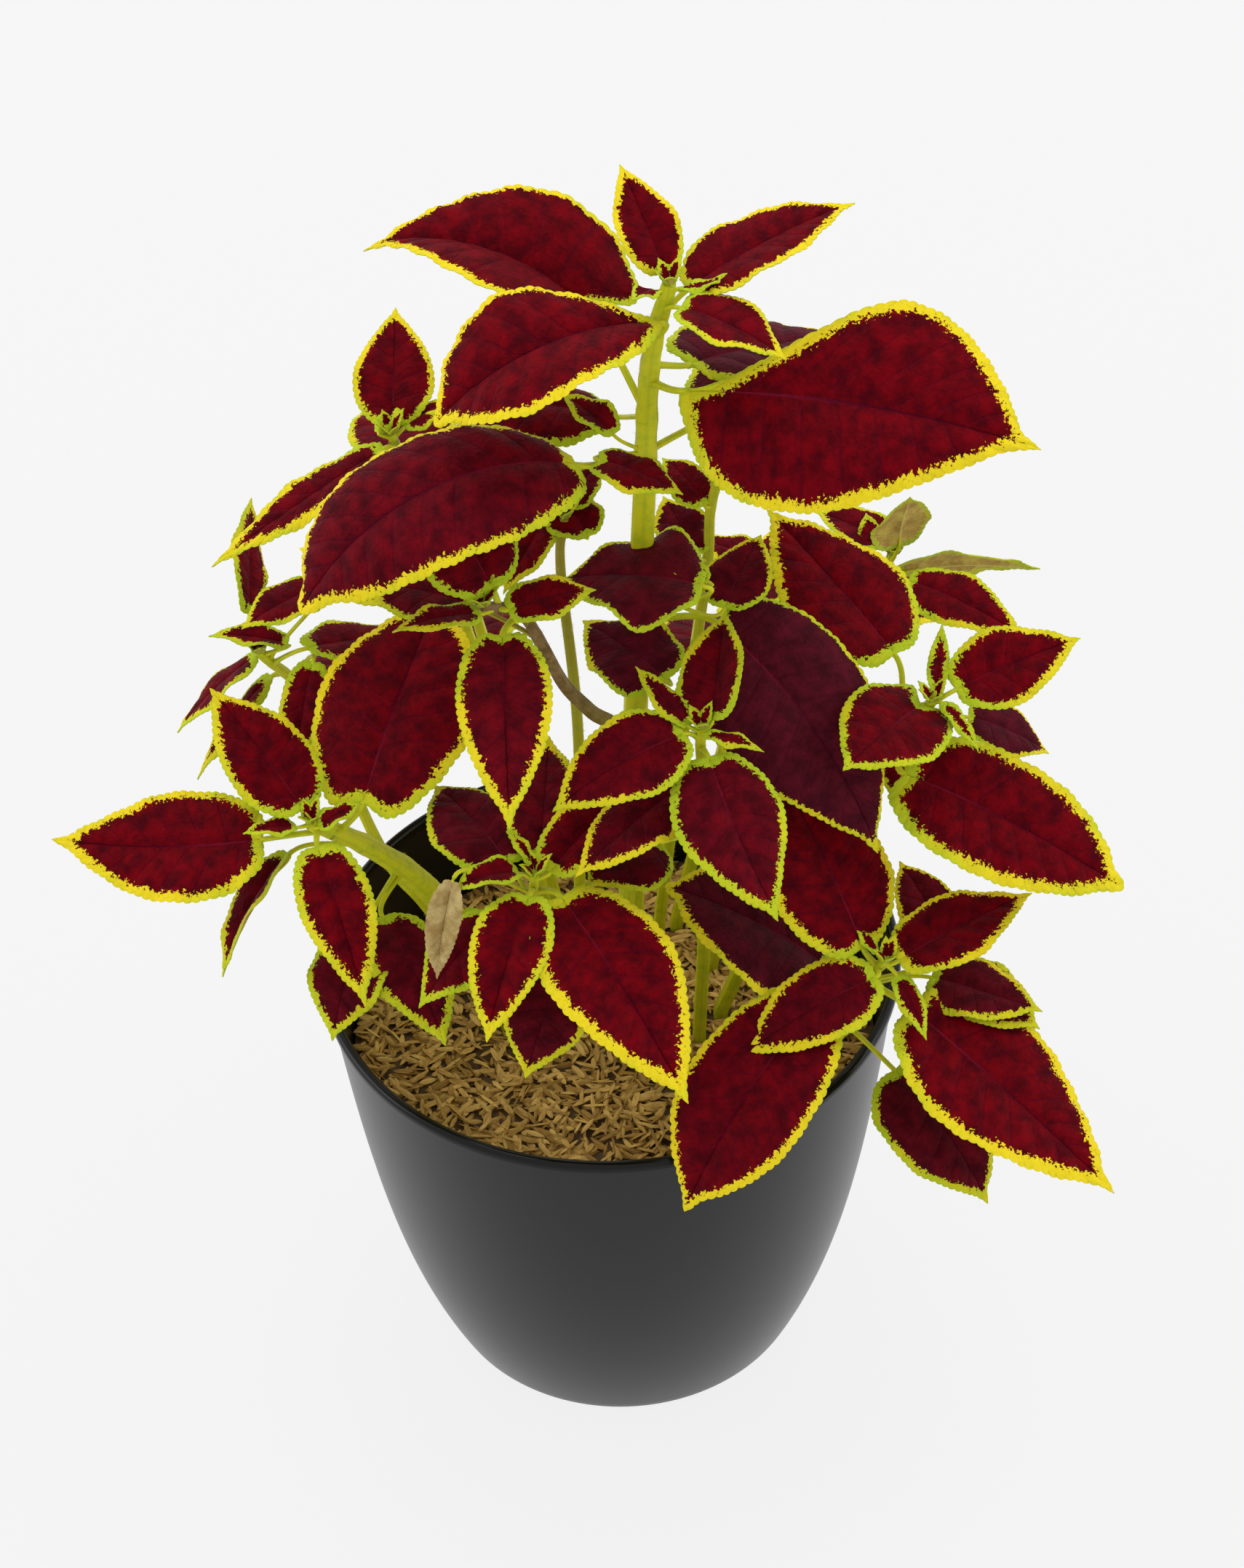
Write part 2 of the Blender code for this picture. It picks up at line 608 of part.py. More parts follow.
def pot(finish, collection, cutters):
    lip_bottom = POT_HEIGHT - LIP_HEIGHT
    inner = [(0.0, FLOOR)]
    inner.append((inside_radius(FLOOR) - 2, FLOOR))
    inner += [(inside_radius(h), h) for h in WALL_RINGS]
    inner += [
        (RIM_RADIUS - WALL - 0.3, POT_HEIGHT - 1.0),
        (RIM_RADIUS - WALL + 0.7, POT_HEIGHT),
        (RIM_RADIUS - 0.9, POT_HEIGHT),
        (RIM_RADIUS, POT_HEIGHT - 1.4),
        (RIM_RADIUS - 0.2, lip_bottom),
    ]
    outer = [(wall_radius(h) - LIP_PROUD * h / POT_HEIGHT, h) for h in np.linspace(lip_bottom, 3, 6)]
    foot = [(BASE_RADIUS - 1.6, 0.8), (BASE_RADIUS - 3.0, 0.0), (0.0, 0.0)]
    shell = turned("pot", inner + outer + foot, collection)
    drains = []
    for number in range(DRAIN_COUNT):
        turn = 2 * math.pi * (number + 0.5) / DRAIN_COUNT
        x, y = DRAIN_RING_RADIUS * math.cos(turn), DRAIN_RING_RADIUS * math.sin(turn)
        drains.append(pin(f"drain_{number}", x, y, DRAIN_RADIUS, -2, FLOOR + 2, 12, collection))
    return drilled(shell, drains, finish, collection, cutters)


def stem_holes(label, bottom, top, collection):
    holes = []
    for name, stem in STEMS.items():
        x, y = stem.path[0][:2]
        radius = (stem.foot / 2 + STEM_HOLE_GAP) / math.cos(math.pi / HOLE_SIDES)
        holes.append(pin(f"{label}_{name}", x, y, radius, bottom, top, HOLE_SIDES, collection))
    return holes


def fill_radius(height):
    """The radius of what fills the pot, a gap clear of its inner face."""
    return inside_radius(height) - GAP


def potting_mix(finish, collection, cutters):
    """The medium: it fills the pot from the floor to under the hulls, with plain holes for stems."""
    top = MULCH_TOP - MULCH_DEPTH - GAP
    heights = [top, *WALL_RINGS[WALL_RINGS < top][::-1]]
    side = [(fill_radius(h), h) for h in heights]
    bottom = [(fill_radius(FLOOR) - 3.0, FLOOR + GAP), (0.0, FLOOR + GAP)]
    body = turned("potting_mix", [(0.0, top), *side, *bottom], collection)
    holes = stem_holes("mix_hole", STEM_FOOT - GAP, top + 5, collection)
    return drilled(body, holes, finish, collection, cutters)


def hull_ridges(reach):
    """Lines of five points along hulls that lie clear of each other and of the rim, thrown at random."""
    rng = np.random.default_rng(7)
    along = np.linspace(-0.5, 0.5, 5)[:, None] * HULL_LENGTH
    ridges = np.empty((0, 5, 2))
    for _ in range(HULL_THROWS):
        distance = (reach - 0.56 * HULL_LENGTH) * math.sqrt(rng.random())
        turn, lie = rng.uniform(0, 2 * math.pi, 2)
        middle = distance * np.array([math.cos(turn), math.sin(turn)])
        ridge = middle + along * [math.cos(lie), math.sin(lie)]
        apart = np.linalg.norm(ridges[:, :, None] - ridge, axis=-1)
        if apart.min(initial=HULL_LENGTH) > 0.7 * HULL_WIDTH:
            ridges = np.concatenate([ridges, ridge[None]])
    return ridges


def rice_hull_mulch(finish, collection, cutters):
    """A level layer of hulls. Its top is raised into a roof for each: a ridge that is high in its
    middle and falls to its ends and sides. Triangles between these points cover the whole top."""
    bottom = MULCH_TOP - MULCH_DEPTH
    low = MULCH_TOP - HULL_HEIGHT
    reach = fill_radius(low)
    turns = 2 * math.pi * np.arange(POT_SIDES) / POT_SIDES
    points = list(reach * np.stack([np.cos(turns), np.sin(turns)], axis=-1))
    heights = [low] * POT_SIDES
    edges = [(k, (k + 1) % POT_SIDES) for k in range(POT_SIDES)]
    for ridge in hull_ridges(reach):
        first = len(points)
        across = (ridge[4] - ridge[0])[::-1] * [-1, 1] / HULL_LENGTH * HULL_WIDTH / 2
        points += [ridge[0], ridge[2], ridge[4], ridge[2] + across, ridge[2] - across]
        heights += [low + 0.35 * HULL_HEIGHT, MULCH_TOP, low + 0.35 * HULL_HEIGHT, low, low]
        edges += [(first, first + 1), (first + 1, first + 2)]
    flat, _, faces, sources, _, _ = delaunay_2d_cdt([tuple(p) for p in points], edges, [], 0, 0.2)
    work = bmesh.new()
    top = []
    for point, source in zip(flat, sources):
        height = max([heights[k] for k in source], default=low)
        top.append(work.verts.new((*point, height)))
    for face in faces:
        work.faces.new([top[k] for k in face])
    rim = [edge for edge in work.edges if edge.is_boundary]
    lower = bmesh.ops.extrude_edge_only(work, edges=rim)["geom"]
    shrink = fill_radius(bottom) / reach
    for corner in lower:
        if isinstance(corner, bmesh.types.BMVert):
            corner.co = (corner.co.x * shrink, corner.co.y * shrink, bottom)
    bmesh.ops.holes_fill(work, edges=[edge for edge in lower if isinstance(edge, bmesh.types.BMEdge)])
    bmesh.ops.recalc_face_normals(work, faces=work.faces)
    bmesh.ops.scale(work, vec=(MM, MM, MM), verts=work.verts)
    mesh = bpy.data.meshes.new("rice_hull_mulch")
    work.to_mesh(mesh)
    work.free()
    layer = link("rice_hull_mulch", mesh, collection)
    holes = stem_holes("mulch_hole", bottom - 5, MULCH_TOP + 5, collection)
    return drilled(layer, holes, finish, collection, cutters)


def main():
    for old in list(bpy.data.objects):
        bpy.data.objects.remove(old)
    scene = bpy.context.scene
    parts = bpy.data.collections.new("potted_coleus")
    cutters = bpy.data.collections.new("cutters")
    scene.collection.children.link(parts)
    scene.collection.children.link(cutters)
    leaf_finish = material("coleus_leaf", (0.13, 0.005, 0.02), 0.5)
    pot(material("pot_plastic", (0.035, 0.036, 0.037), 0.38), parts, cutters)
    potting_mix(material("potting_mix", (0.05, 0.032, 0.02), 0.95), parts, cutters)
    rice_hull_mulch(material("rice_hull", (0.38, 0.25, 0.11), 0.8), parts, cutters)
    for name, stem in STEMS.items():
        leafy_stem(name, stem, leaf_finish, parts)


if __name__ == "__main__":
    main()
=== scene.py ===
"""Potted coleus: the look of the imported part.

The pot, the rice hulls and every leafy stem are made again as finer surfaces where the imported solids
are, and the potting mix keeps its solid with a better finish. Lengths in the tables below are
millimetres and angles are degrees. The origin is the middle of the pot's base, -Y is the front and
+X the right. Azimuths turn from +X towards +Y, and a rise is above level.
"""

import math
from typing import NamedTuple

import bmesh
import bpy
import numpy as np
from bpy.props import FloatProperty, FloatVectorProperty, IntProperty, PointerProperty
from mathutils import Matrix


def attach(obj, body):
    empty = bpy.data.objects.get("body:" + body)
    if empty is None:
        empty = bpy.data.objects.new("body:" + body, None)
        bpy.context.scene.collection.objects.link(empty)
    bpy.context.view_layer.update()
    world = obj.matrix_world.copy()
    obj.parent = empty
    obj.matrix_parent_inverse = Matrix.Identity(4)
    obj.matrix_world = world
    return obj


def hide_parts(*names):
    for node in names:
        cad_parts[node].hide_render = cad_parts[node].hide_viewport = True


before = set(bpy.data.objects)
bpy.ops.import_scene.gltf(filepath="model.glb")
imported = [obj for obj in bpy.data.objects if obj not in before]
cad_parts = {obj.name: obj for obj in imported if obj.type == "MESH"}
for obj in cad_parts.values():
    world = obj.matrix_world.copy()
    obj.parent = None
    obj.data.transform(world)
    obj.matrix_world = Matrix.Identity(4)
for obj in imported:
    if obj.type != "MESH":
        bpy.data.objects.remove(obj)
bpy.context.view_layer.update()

bl_info = {
    "name": "Potted Coleus",
    "version": (1, 0, 0),
    "blender": (4, 5, 0),
    "location": "3D View > Sidebar > Coleus",
    "description": "Builds the pot, rice hulls, stems and crenate leaves of a potted coleus",
    "category": "Add Mesh",
}

MM = 0.001

# Pot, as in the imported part
RIM_RADIUS = 100.0
BASE_RADIUS = 67.5
POT_HEIGHT = 169.0
WALL = 2.4
FLOOR = 3.2
LIP_HEIGHT = 3.4
LIP_PROUD = 1.2
LIP_ROLL = 1.9
DRAIN_RING_RADIUS = 42.0
DRAIN_RADIUS = 6.0
DRAIN_COUNT = 4
DRAIN_SIDES = 40

# Rice hulls: their bed, the layer over it in which they lie, how far they tip and roll in radians,
# the share that lies upside down, and the stations and the section of one
MULCH_TOP = 131.0
MULCH_DEPTH = 6.0
MULCH_RADIUS = 92.6
BED_TOP = MULCH_TOP - 3.4
BED_SIDES = 120
HULL_LAYER = 2.9
HULL_TIP = 0.12
HULL_ROLL = 0.5
HULL_OVER = 0.3
HULL_STATIONS = np.array([[0.07], [0.34], [0.7], [0.93]])
HULL_SIDE = np.array([1.0, 0.0, -1.0, 0.0])
HULL_RISE = np.array([0.0, 0.3, 0.0, -0.1])

# Blades and stems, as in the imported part
STEM_FOOT = 92.0
WAVES = 2.0

# Finer form
COLUMNS = np.array([0.0, 0.06, 0.3, 0.6, 0.87, 1.0])
ACROSS = np.concatenate([-COLUMNS[:0:-1], COLUMNS])
ROWS_PER_TOOTH = 5
OUTLINE_STEPS = 1200
MIDRIB_STEPS = 48
LARGE_BLADE = 60.0
TIP_DRAWN = 0.34
VEIN_LEAN = 0.7
BUD_LEAVES = 4
PATH_STEPS = 12
STEM_SIDES = 16
STEM_STEP = 2.2
NODE_SWELLING = 0.1
NODE_REACH = 2.6
BROWN_FROM = 190.0
BROWN_TO = 310.0
PETIOLE_SIDES = 10
PETIOLE_STEP = 1.4
PETIOLE_GREEN_FROM = 335.0
PETIOLE_SUNK = np.array([0.3, 0.45, 0.5, 0.48, 0.42, 0.36, 0.3, 0.25])

# Photograph and studio, in metres and watts. A lamp has a place, an aim, a size and a power.
CAMERA_PLACE = (0.006, -0.754, 0.907)
CAMERA_PITCH = 41.3
CAMERA_ROLL = -2.1
CAMERA_LENS = 70.0
LAMPS = {
    "overhead_softbox": ((0.0, 0.5, 2.2), (0, 0.05, 0.25), 1.8, 12.0),
    "left_softbox": ((-1.9, 0.2, 1.1), (0, 0, 0.2), 1.2, 8.0),
    "right_softbox": ((1.9, 0.1, 1.2), (0, 0, 0.2), 1.2, 8.0),
}


class Stem(NamedTuple):
    """One stem: the points that it passes from the soil up, its width at foot and tip, and how brown
    it turns higher up."""

    path: tuple
    foot: float
    tip: float
    brown: float = 0.0


class Leaf(NamedTuple):
    """One leaf. The petiole leaves the stem at height node and has a length, an azimuth and a rise.
    The blade has a mean azimuth and rise, a length and a width. hue runs from a yellow to a lime
    margin (below 0 the blade is withered), tone from bright to dark, and band is how wide the margin
    is. The blade turns down by droop in all, folds up at the midrib by fold, bends back by bend
    towards its margin, rolls and twists about its midrib, sweeps sideways, and its margin waves by
    wave millimetres. heart sets its base lobes, widest is where it is widest, and skew moves its left
    margin forward. heel and point are the powers that shape the outline before and after its widest
    place, and lee is added to the heel of the left half."""

    node: float
    petiole: tuple
    azimuth: float
    rise: float
    length: float
    width: float
    hue: float
    # tone is partly the blade's own colour and partly painted shade: lower leaves deep in the plant are
    # given darker tones.
    tone: float = 0.4
    band: float = 1.0
    droop: float = 25.0
    fold: float = 14.0
    bend: float = 30.0
    roll: float = 0.0
    twist: float = 0.0
    sweep: float = 0.0
    wave: float = 1.0
    heart: float = 0.05
    widest: float = 0.36
    skew: float = 0.0
    heel: float = 0.6
    lee: float = 0.0
    point: float = 1.12


# Each stem with its leaves
STEMS = {
    "main": (
        Stem(((6, 10, 131), (10, 10, 240), (16, 7, 355), (19, 6, 405), (25, 4, 433)), 10.5, 4.6),
        Leaf(430, (6, 102, 47), 115, 38, 35, 20, 0.1, 0.3, 0.9, droop=15, fold=20),
        Leaf(424, (10, 307, 28), 332, -15, 35, 24, 0.45, 0.3, 0.9, droop=30, fold=22),
        Leaf(412, (13, 290, 57), 196, -16, 76, 50, 0.1, 0.35, 0.8, droop=62, fold=28, bend=45, roll=-8,
             heart=0, widest=0.55, heel=1.3, lee=-0.6, point=0.8),
        Leaf(421, (12, 31, 31), 22, 15, 56, 30, 0.08, 0.4, 0.7, droop=20, fold=22),
        Leaf(430, (4, 334, 28), 20, 5, 18, 5, 0.8, droop=-30),
        Leaf(430, (4, 205, 22), 235, 15, 13, 8, 0.8, droop=40),
        Leaf(386, (38, 128, 39), 160, 6, 76, 57, 0.1, 0.3, 0.62, droop=74, fold=38, bend=40, roll=-4,
             heart=0.26, widest=0.25, point=1.5),
        Leaf(398, (15, 310, 15), 353, -9, 108, 70, 0.08, 0.12, 0.8, droop=22, bend=36, roll=39,
             heart=-0.03, widest=0.46, skew=0.12, lee=1, point=1.3),
        Leaf(404, (13, 20, -14), 38, -18, 74, 44, 0.4, 0.8, 0.7, droop=20, widest=0.3),
        Leaf(372, (28, 218, 17), 200, -18, 102, 54, 0.22, 0.55, 0.7, droop=86, bend=50, roll=-12,
             widest=0.5, skew=-0.05, point=0.65),
        Leaf(385, (27, 122, -27), 176, 0, 56, 34, 0.5, 0.5, 0.8, droop=30, bend=50),
        Leaf(372, (16, 212, 45), 135, 12, 22, 13, 0.8, fold=30),
        Leaf(372, (24, 231, 24), 338, -14, 27, 19, 0.6, 0.35, fold=10, heart=0.14),
        Leaf(372, (24, 32, 10), 45, -12, 78, 46, 0.4, 0.7, 0.7, droop=35),
        Leaf(308, (40, 312, 44), 168, -4, 45, 47, 0.7, 0.72, 0.7, droop=30, wave=3.4),
        Leaf(297, (28, 287, 11), 133, 5, 38, 31, 0.6, 0.8, 0.8, roll=-8, wave=3),
        Leaf(318, (28, 339, 0), 64, 15, 31, 22, 0.5, 0.65, 0.8),
        Leaf(325, (27, 322, 18), 157, 5, 21, 11, 0.8, fold=30),
        Leaf(306, (26, 343, 8), 319, -44, 92, 56, 0.55, 0.95, 0.42, droop=48, bend=50, roll=20,
             heart=0.08),
    ),
    "left": (
        Stem(((-36, 6, 131), (-47, -2, 176), (-61, -17, 219), (-77, -28, 247), (-93, -35, 264)), 10,
             4.6),
        Leaf(258, (22, 190, 2), 177, 0, 68, 40, 0.12, 0.12, 0.95, droop=-22, roll=-22),
        Leaf(262, (7, 155, 50), 132, 29, 50, 31, 0.35, 0.3, 0.9, droop=12, fold=18),
        Leaf(256, (13, 21, 47), 68, 26, 76, 55, 0.12, 0.4, 0.95, droop=20, bend=36, heart=0.1,
             widest=0.46, point=0.85),
        Leaf(262, (8, 272, -20), 288, -28, 55, 24, 0.4, 0.3, fold=20),
        Leaf(263, (6, 206, 10), 193, 5, 17, 9, 0.8, fold=24),
        Leaf(263, (4, 300, 20), 28, 10, 16, 9, 0.8, fold=24),
        Leaf(248, (24, 183, -5), 231, -37, 46, 21, 0.5, 0.6, droop=45, fold=36, roll=32),
        Leaf(232, (26, 240, -20), 252, -30, 38, 27, 0.65, 0.6, droop=40, wave=2.6),
        Leaf(230, (20, 250, -12), 300, -34, 48, 27, 0.7, 0.6, droop=45, wave=3, twist=40),
        Leaf(205, (8, 330, -10), 320, -30, 26, 14, 0.7, 0.6, droop=30),
    ),
    "left_centre": (
        Stem(((0, -9, 131), (8, -11, 220), (8, -12, 272), (-3, -14, 288), (-11, -17, 302),
              (-17, -22, 322), (-23, -26, 338), (-34, -30, 344)), 5.4, 3.2, 0.9),
        Leaf(342, (6, 123, 65), 132, 42, 45, 35, 0.7, 0.5, 0.8, droop=10, fold=12),
        Leaf(342, (4, 319, 14), 17, 0, 28, 17, 0.6, roll=15),
        Leaf(342, (7, 215, 7), 202, 5, 28, 13, 0.55, fold=20),
        Leaf(338, (10, 236, -15), 271, -25, 64, 29, 0.4, 0.58, 0.8, fold=22),
        Leaf(325, (23, 164, 24), 160, 0, 40, 27, 0.6, 0.5, 0.8),
        Leaf(343, (3, 137, 57), 70, 40, 10, 4, 0.9),
    ),
    "front": (
        Stem(((-26, -4, 131), (-27, -28, 190), (-24, -50, 235), (-22, -62, 263)), 5.6, 3.2),
        Leaf(252, (14, 312, 24), 302, -25, 77, 43, 0.1, 0.1, fold=16),
        Leaf(252, (14, 264, 35), 250, -30, 48, 26, 0.35, 0.25, droop=28, fold=24),
        Leaf(260, (6, 353, 32), 50, 10, 43, 24, 0.35, 0.3, droop=15, fold=18),
        Leaf(255, (9, 66, 43), 87, 5, 54, 25, 0.5, 0.6, 0.9, droop=20),
        Leaf(245, (16, 167, 63), 122, 0, 46, 33, 0.6, 0.6, 0.8, droop=35),
        Leaf(258, (9, 215, 51), 200, 0, 22, 13, 0.8, droop=50, fold=30),
        Leaf(250, (32, 206, 33), 238, -68, 34, 12, -1, 0.3, droop=20, fold=40, roll=-20),
        Leaf(262, (4, 107, 63), 140, 45, 14, 5, 0.9),
        Leaf(215, (29, 293, 18), 246, -30, 37, 30, 0.5, 0.7, 0.9, droop=30),
        Leaf(222, (27, 239, 47), 221, -25, 38, 25, 0.8, 0.5, droop=35, wave=2),
        Leaf(190, (36, 319, 4), 330, -12, 30, 20, 0.7, 0.7, 0.9, droop=30),
    ),
    "centre": (
        Stem(((30, -5, 131), (33, -2, 190), (34, -8, 222), (34, -21, 248), (31, -34, 284),
              (31, -37, 299)), 5.4, 3.2),
        Leaf(296, (6, 12, 52), 79, 34, 36, 26, 0.6, 0.45, droop=8, fold=34, roll=-28),
        Leaf(297, (5, 186, 39), 130, 20, 26, 10, 0.6, 0.5, droop=8),
        Leaf(294, (8, 213, 39), 206, -15, 48, 30, 0.5, 0.5, 0.9, droop=30, fold=16, roll=-18),
        Leaf(290, (8, 286, 15), 295, -34, 56, 36, 0.72, 0.62, 0.9, bend=40, sweep=20),
        Leaf(297, (3, 297, 20), 332, 0, 20, 7, 0.75),
        Leaf(268, (18, 240, 37), 219, -14, 46, 27, 0.3, 0.55, 0.9, droop=20),
        Leaf(226, (45, 241, 39), 210, -10, 28, 34, 0.7, 0.7, 0.9, droop=35),
    ),
    "right": (
        Stem(((38, 6, 131), (58, 14, 176), (84, 6, 232), (105, -15, 288)), 6, 3.2),
        Leaf(284, (11, 5, 35), 19, 10, 44, 28, 0.35, 0.2, droop=12, roll=22, fold=18),
        Leaf(284, (4, 226, 45), 230, 3, 43, 34, 0.6, 0.35, droop=15, roll=-14, heart=0.22),
        Leaf(287, (4, 40, 60), 80, 22, 25, 7, 0.85, droop=-10),
        Leaf(287, (4, 330, 20), 305, -25, 20, 6, 0.85, droop=35),
        Leaf(268, (16, 264, -13), 337, -20, 79, 45, 0.38, 0.12, 1.05, droop=18, roll=20, heart=0.08,
             point=0.7),
        Leaf(262, (29, 91, 60), 129, 22, 66, 46, 0.3, 0.3, 0.9, droop=10),
        Leaf(262, (25, 15, 10), 350, -26, 30, 26, 0.4, 0.9, 0.7, droop=30),
        Leaf(250, (17, 61, -10), 272, -30, 27, 18, 0.7, 0.4, 0.9, droop=20),
    ),
    "front_right": (
        Stem(((30, -24, 131), (52, -40, 167), (74, -53, 197), (89, -58, 216)), 5.8, 3.2),
        Leaf(212, (8, 140, 45), 124, 44, 64, 44, 0.12, 0.35, 0.95, droop=20, fold=12, widest=0.4),
        Leaf(212, (8, 350, 30), 24, 10, 50, 30, 0.2, 0.35, 0.95, droop=15, fold=18),
        Leaf(212, (7, 262, 20), 201, -20, 50, 29, 0.42, 0.45, droop=22, roll=-12, fold=18),
        Leaf(206, (19, 335, -22), 321, -25, 87, 52, 0.1, 0.2, 0.95, droop=8),
        Leaf(215, (4, 150, 45), 129, 25, 12, 5, 0.85),
        Leaf(215, (6, 318, -30), 294, -30, 23, 9, 0.8, fold=20),
        Leaf(190, (24, 258, 42), 226, -35, 79, 45, 0.12, 0.45, 0.7, droop=40, roll=-8, heart=0.14,
             widest=0.48, point=0.95),
        Leaf(190, (33, 328, -33), 311, -35, 54, 42, 0.6, 0.65, 0.8, droop=40, wave=1.6),
        Leaf(200, (37, 20, 10), 112, 12, 36, 22, 0.4, 0.6, 0.7),
        Leaf(196, (32, 8, 3), 335, -2, 38, 28, 0.45, 0.6, droop=10),
        Leaf(180, (20, 33, 55), 168, 28, 61, 56, 0.4, 0.85, 0.8, droop=30, point=0.8),
        Leaf(186, (46, 5, 12), 322, -8, 36, 28, 0.55, 0.65, droop=15),
    ),
    "rear_left": (
        Stem(((-20, 32, 131), (-30, 46, 205), (-42, 54, 280), (-63, 45, 356)), 5.8, 3),
        Leaf(352, (6, 100, 60), 88, 28, 42, 26, 0.15, 0.3, 0.9, droop=10),
        Leaf(350, (7, 231, 27), 209, -19, 66, 20, 0.4, 0.4, 0.9, droop=8),
        Leaf(354, (6, 204, 40), 66, 20, 22, 6, 0.8, droop=-30),
        Leaf(354, (5, 30, 30), 33, 10, 18, 12, 0.6),
        Leaf(325, (18, 110, 15), 98, -12, 56, 36, 0.4, 0.5, 0.8, droop=35),
    ),
    "far_left": (
        Stem(((-44, 18, 131), (-62, 11, 181), (-72, 12, 197), (-79, 15, 213), (-97, 33, 257),
              (-111, 26, 285)), 5.4, 3),
        Leaf(282, (15, 120, 58), 91, 20, 46, 18, 0.5, 0.4, 0.9, roll=62),
        Leaf(280, (34, 6, 55), 214, -6, 30, 21, 0.55, 0.4, 0.9),
        Leaf(278, (6, 181, 30), 203, -36, 37, 20, 0.6, roll=20),
        Leaf(272, (5, 180, -21), 214, -42, 43, 14, 0.6, roll=20),
        Leaf(268, (23, 306, 47), 252, -50, 38, 17, 0.6),
        Leaf(283, (10, 356, 29), 178, 8, 26, 13, 0.7, fold=30),
        Leaf(235, (34, 83, 5), 104, -16, 48, 32, 0.6, 0.6, 0.8, droop=35),
        Leaf(278, (17, 338, 36), 33, -19, 48, 24, 0.6, 0.5, droop=10),
    ),
    "rear_right": (
        Stem(((36, 30, 131), (52, 48, 182), (75, 68, 228), (102, 83, 272)), 5.6, 3),
        Leaf(264, (12, 60, 60), 150, 10, 28, 21, 0.55, 0.4, 0.9, fold=24),
        Leaf(266, (15, 318, 66), 292, 74, 27, 22, 0.55, 0.5, 0.9, droop=20),
        Leaf(262, (11, 328, 50), 355, 2, 50, 20, 0.6, roll=-58),
        Leaf(264, (26, 291, 33), 327, -10, 45, 23, 0.5, 0.3, 0.9, roll=12),
        Leaf(266, (10, 170, 70), 98, 30, 14, 9, 0.8),
    ),
    "slender_right": (
        Stem(((16, 36, 131), (26, 39, 220), (36, 40, 300), (38, 40, 328), (44, 38, 348)), 5, 3, 0.15),
        Leaf(327, (4, 229, 30), 125, 15, 24, 16, 0.7, droop=50),
        Leaf(345, (8, 20, 30), 30, -5, 42, 26, 0.5, 0.5, 0.8, droop=30),
        Leaf(346, (6, 80, 40), 75, 5, 34, 20, 0.6, 0.5, 0.8, droop=30),
        Leaf(305, (8, 224, 42), 114, 20, 25, 20, 0.7, 0.6, 0.8, wave=2),
        Leaf(250, (14, 75, 10), 80, -20, 50, 34, 0.5, 0.6, 0.8, droop=35),
    ),
    "slender_left": (
        Stem(((-12, 22, 131), (-8, 22, 245), (-11, 20, 318), (-9, 16, 342)), 4.8, 3, 0.55),
        Leaf(338, (9, 330, -5), 125, 20, 27, 20, 0.6, 0.45, 0.9, wave=2),
        Leaf(334, (7, 150, 50), 240, -20, 31, 15, 0.55, 0.4, 0.9, droop=20),
        Leaf(340, (5, 60, 40), 60, 15, 20, 13, 0.7, 0.5, 0.9),
    ),
    "back_left": (
        Stem(((-16, 46, 131), (-30, 64, 190), (-44, 80, 240), (-52, 88, 266)), 5.6, 3.2),
        Leaf(262, (7, 95, 45), 92, 15, 46, 28, 0.15, 0.3, 0.9, droop=15),
        Leaf(262, (7, 275, 45), 262, 10, 30, 19, 0.5),
        Leaf(264, (5, 185, 40), 178, 12, 32, 19, 0.45),
        Leaf(264, (5, 5, 40), 8, 12, 30, 18, 0.45),
        Leaf(248, (18, 140, 20), 135, -12, 72, 44, 0.2, 0.3, 0.8, droop=30),
        Leaf(225, (20, 105, 10), 106, -28, 74, 46, 0.3, 0.4, 0.9, droop=40),
        Leaf(205, (16, 160, 5), 150, -30, 54, 38, 0.4, 0.6, 0.8, droop=35),
    ),
    "back_right": (
        Stem(((24, 52, 131), (40, 68, 190), (56, 82, 238), (64, 90, 262)), 5.6, 3.2),
        Leaf(252, (7, 70, 30), 72, -5, 40, 27, 0.2, 0.3, 0.9, droop=25),
        Leaf(258, (7, 250, 45), 255, 10, 28, 18, 0.5),
        Leaf(260, (5, 345, 40), 20, 12, 26, 16, 0.45),
        Leaf(260, (5, 165, 40), 160, 12, 30, 18, 0.45),
        Leaf(240, (18, 20, 15), 22, -15, 70, 42, 0.25, 0.3, 0.8, droop=35),
        Leaf(222, (20, 70, 8), 70, -28, 76, 46, 0.3, 0.45, 0.9, droop=40),
        Leaf(200, (16, 10, 5), 5, -22, 54, 36, 0.45, 0.6, 0.8, droop=35),
    ),
}


# Shapes


class Surface(NamedTuple):
    """Points, triangles and named vertex values of one closed surface."""

    points: np.ndarray
    faces: np.ndarray
    values: dict


def surface_of(points, faces, **values):
    """A surface whose points and values come as grids of vectors."""
    return Surface(points.reshape(-1, 3), faces, {k: v.reshape(-1, 3) for k, v in values.items()})


def vectors(*parts):
    """Vectors of their parts, which are spread to one shape."""
    return np.stack(np.broadcast_arrays(*parts), axis=-1)


def unit(rows):
    """Vectors over their lengths."""
    return rows / np.maximum(np.linalg.norm(rows, axis=-1, keepdims=True), 1e-9)


def spun(angle, first, second):
    """Two square directions turned in their plane by an angle from the first towards the second."""
    cosine, sine = np.cos(angle), np.sin(angle)
    return cosine * first + sine * second, cosine * second - sine * first


def turns(count):
    """The angles of a full turn in equal steps."""
    return 2 * math.pi * np.arange(count) / count


def heading(azimuth, rise):
    """Unit vectors: (cos rise cos azimuth, cos rise sin azimuth, sin rise), for degrees."""
    turned, lifted = np.radians(azimuth), np.radians(rise)
    return vectors(np.cos(lifted) * np.cos(turned), np.cos(lifted) * np.sin(turned), np.sin(lifted))


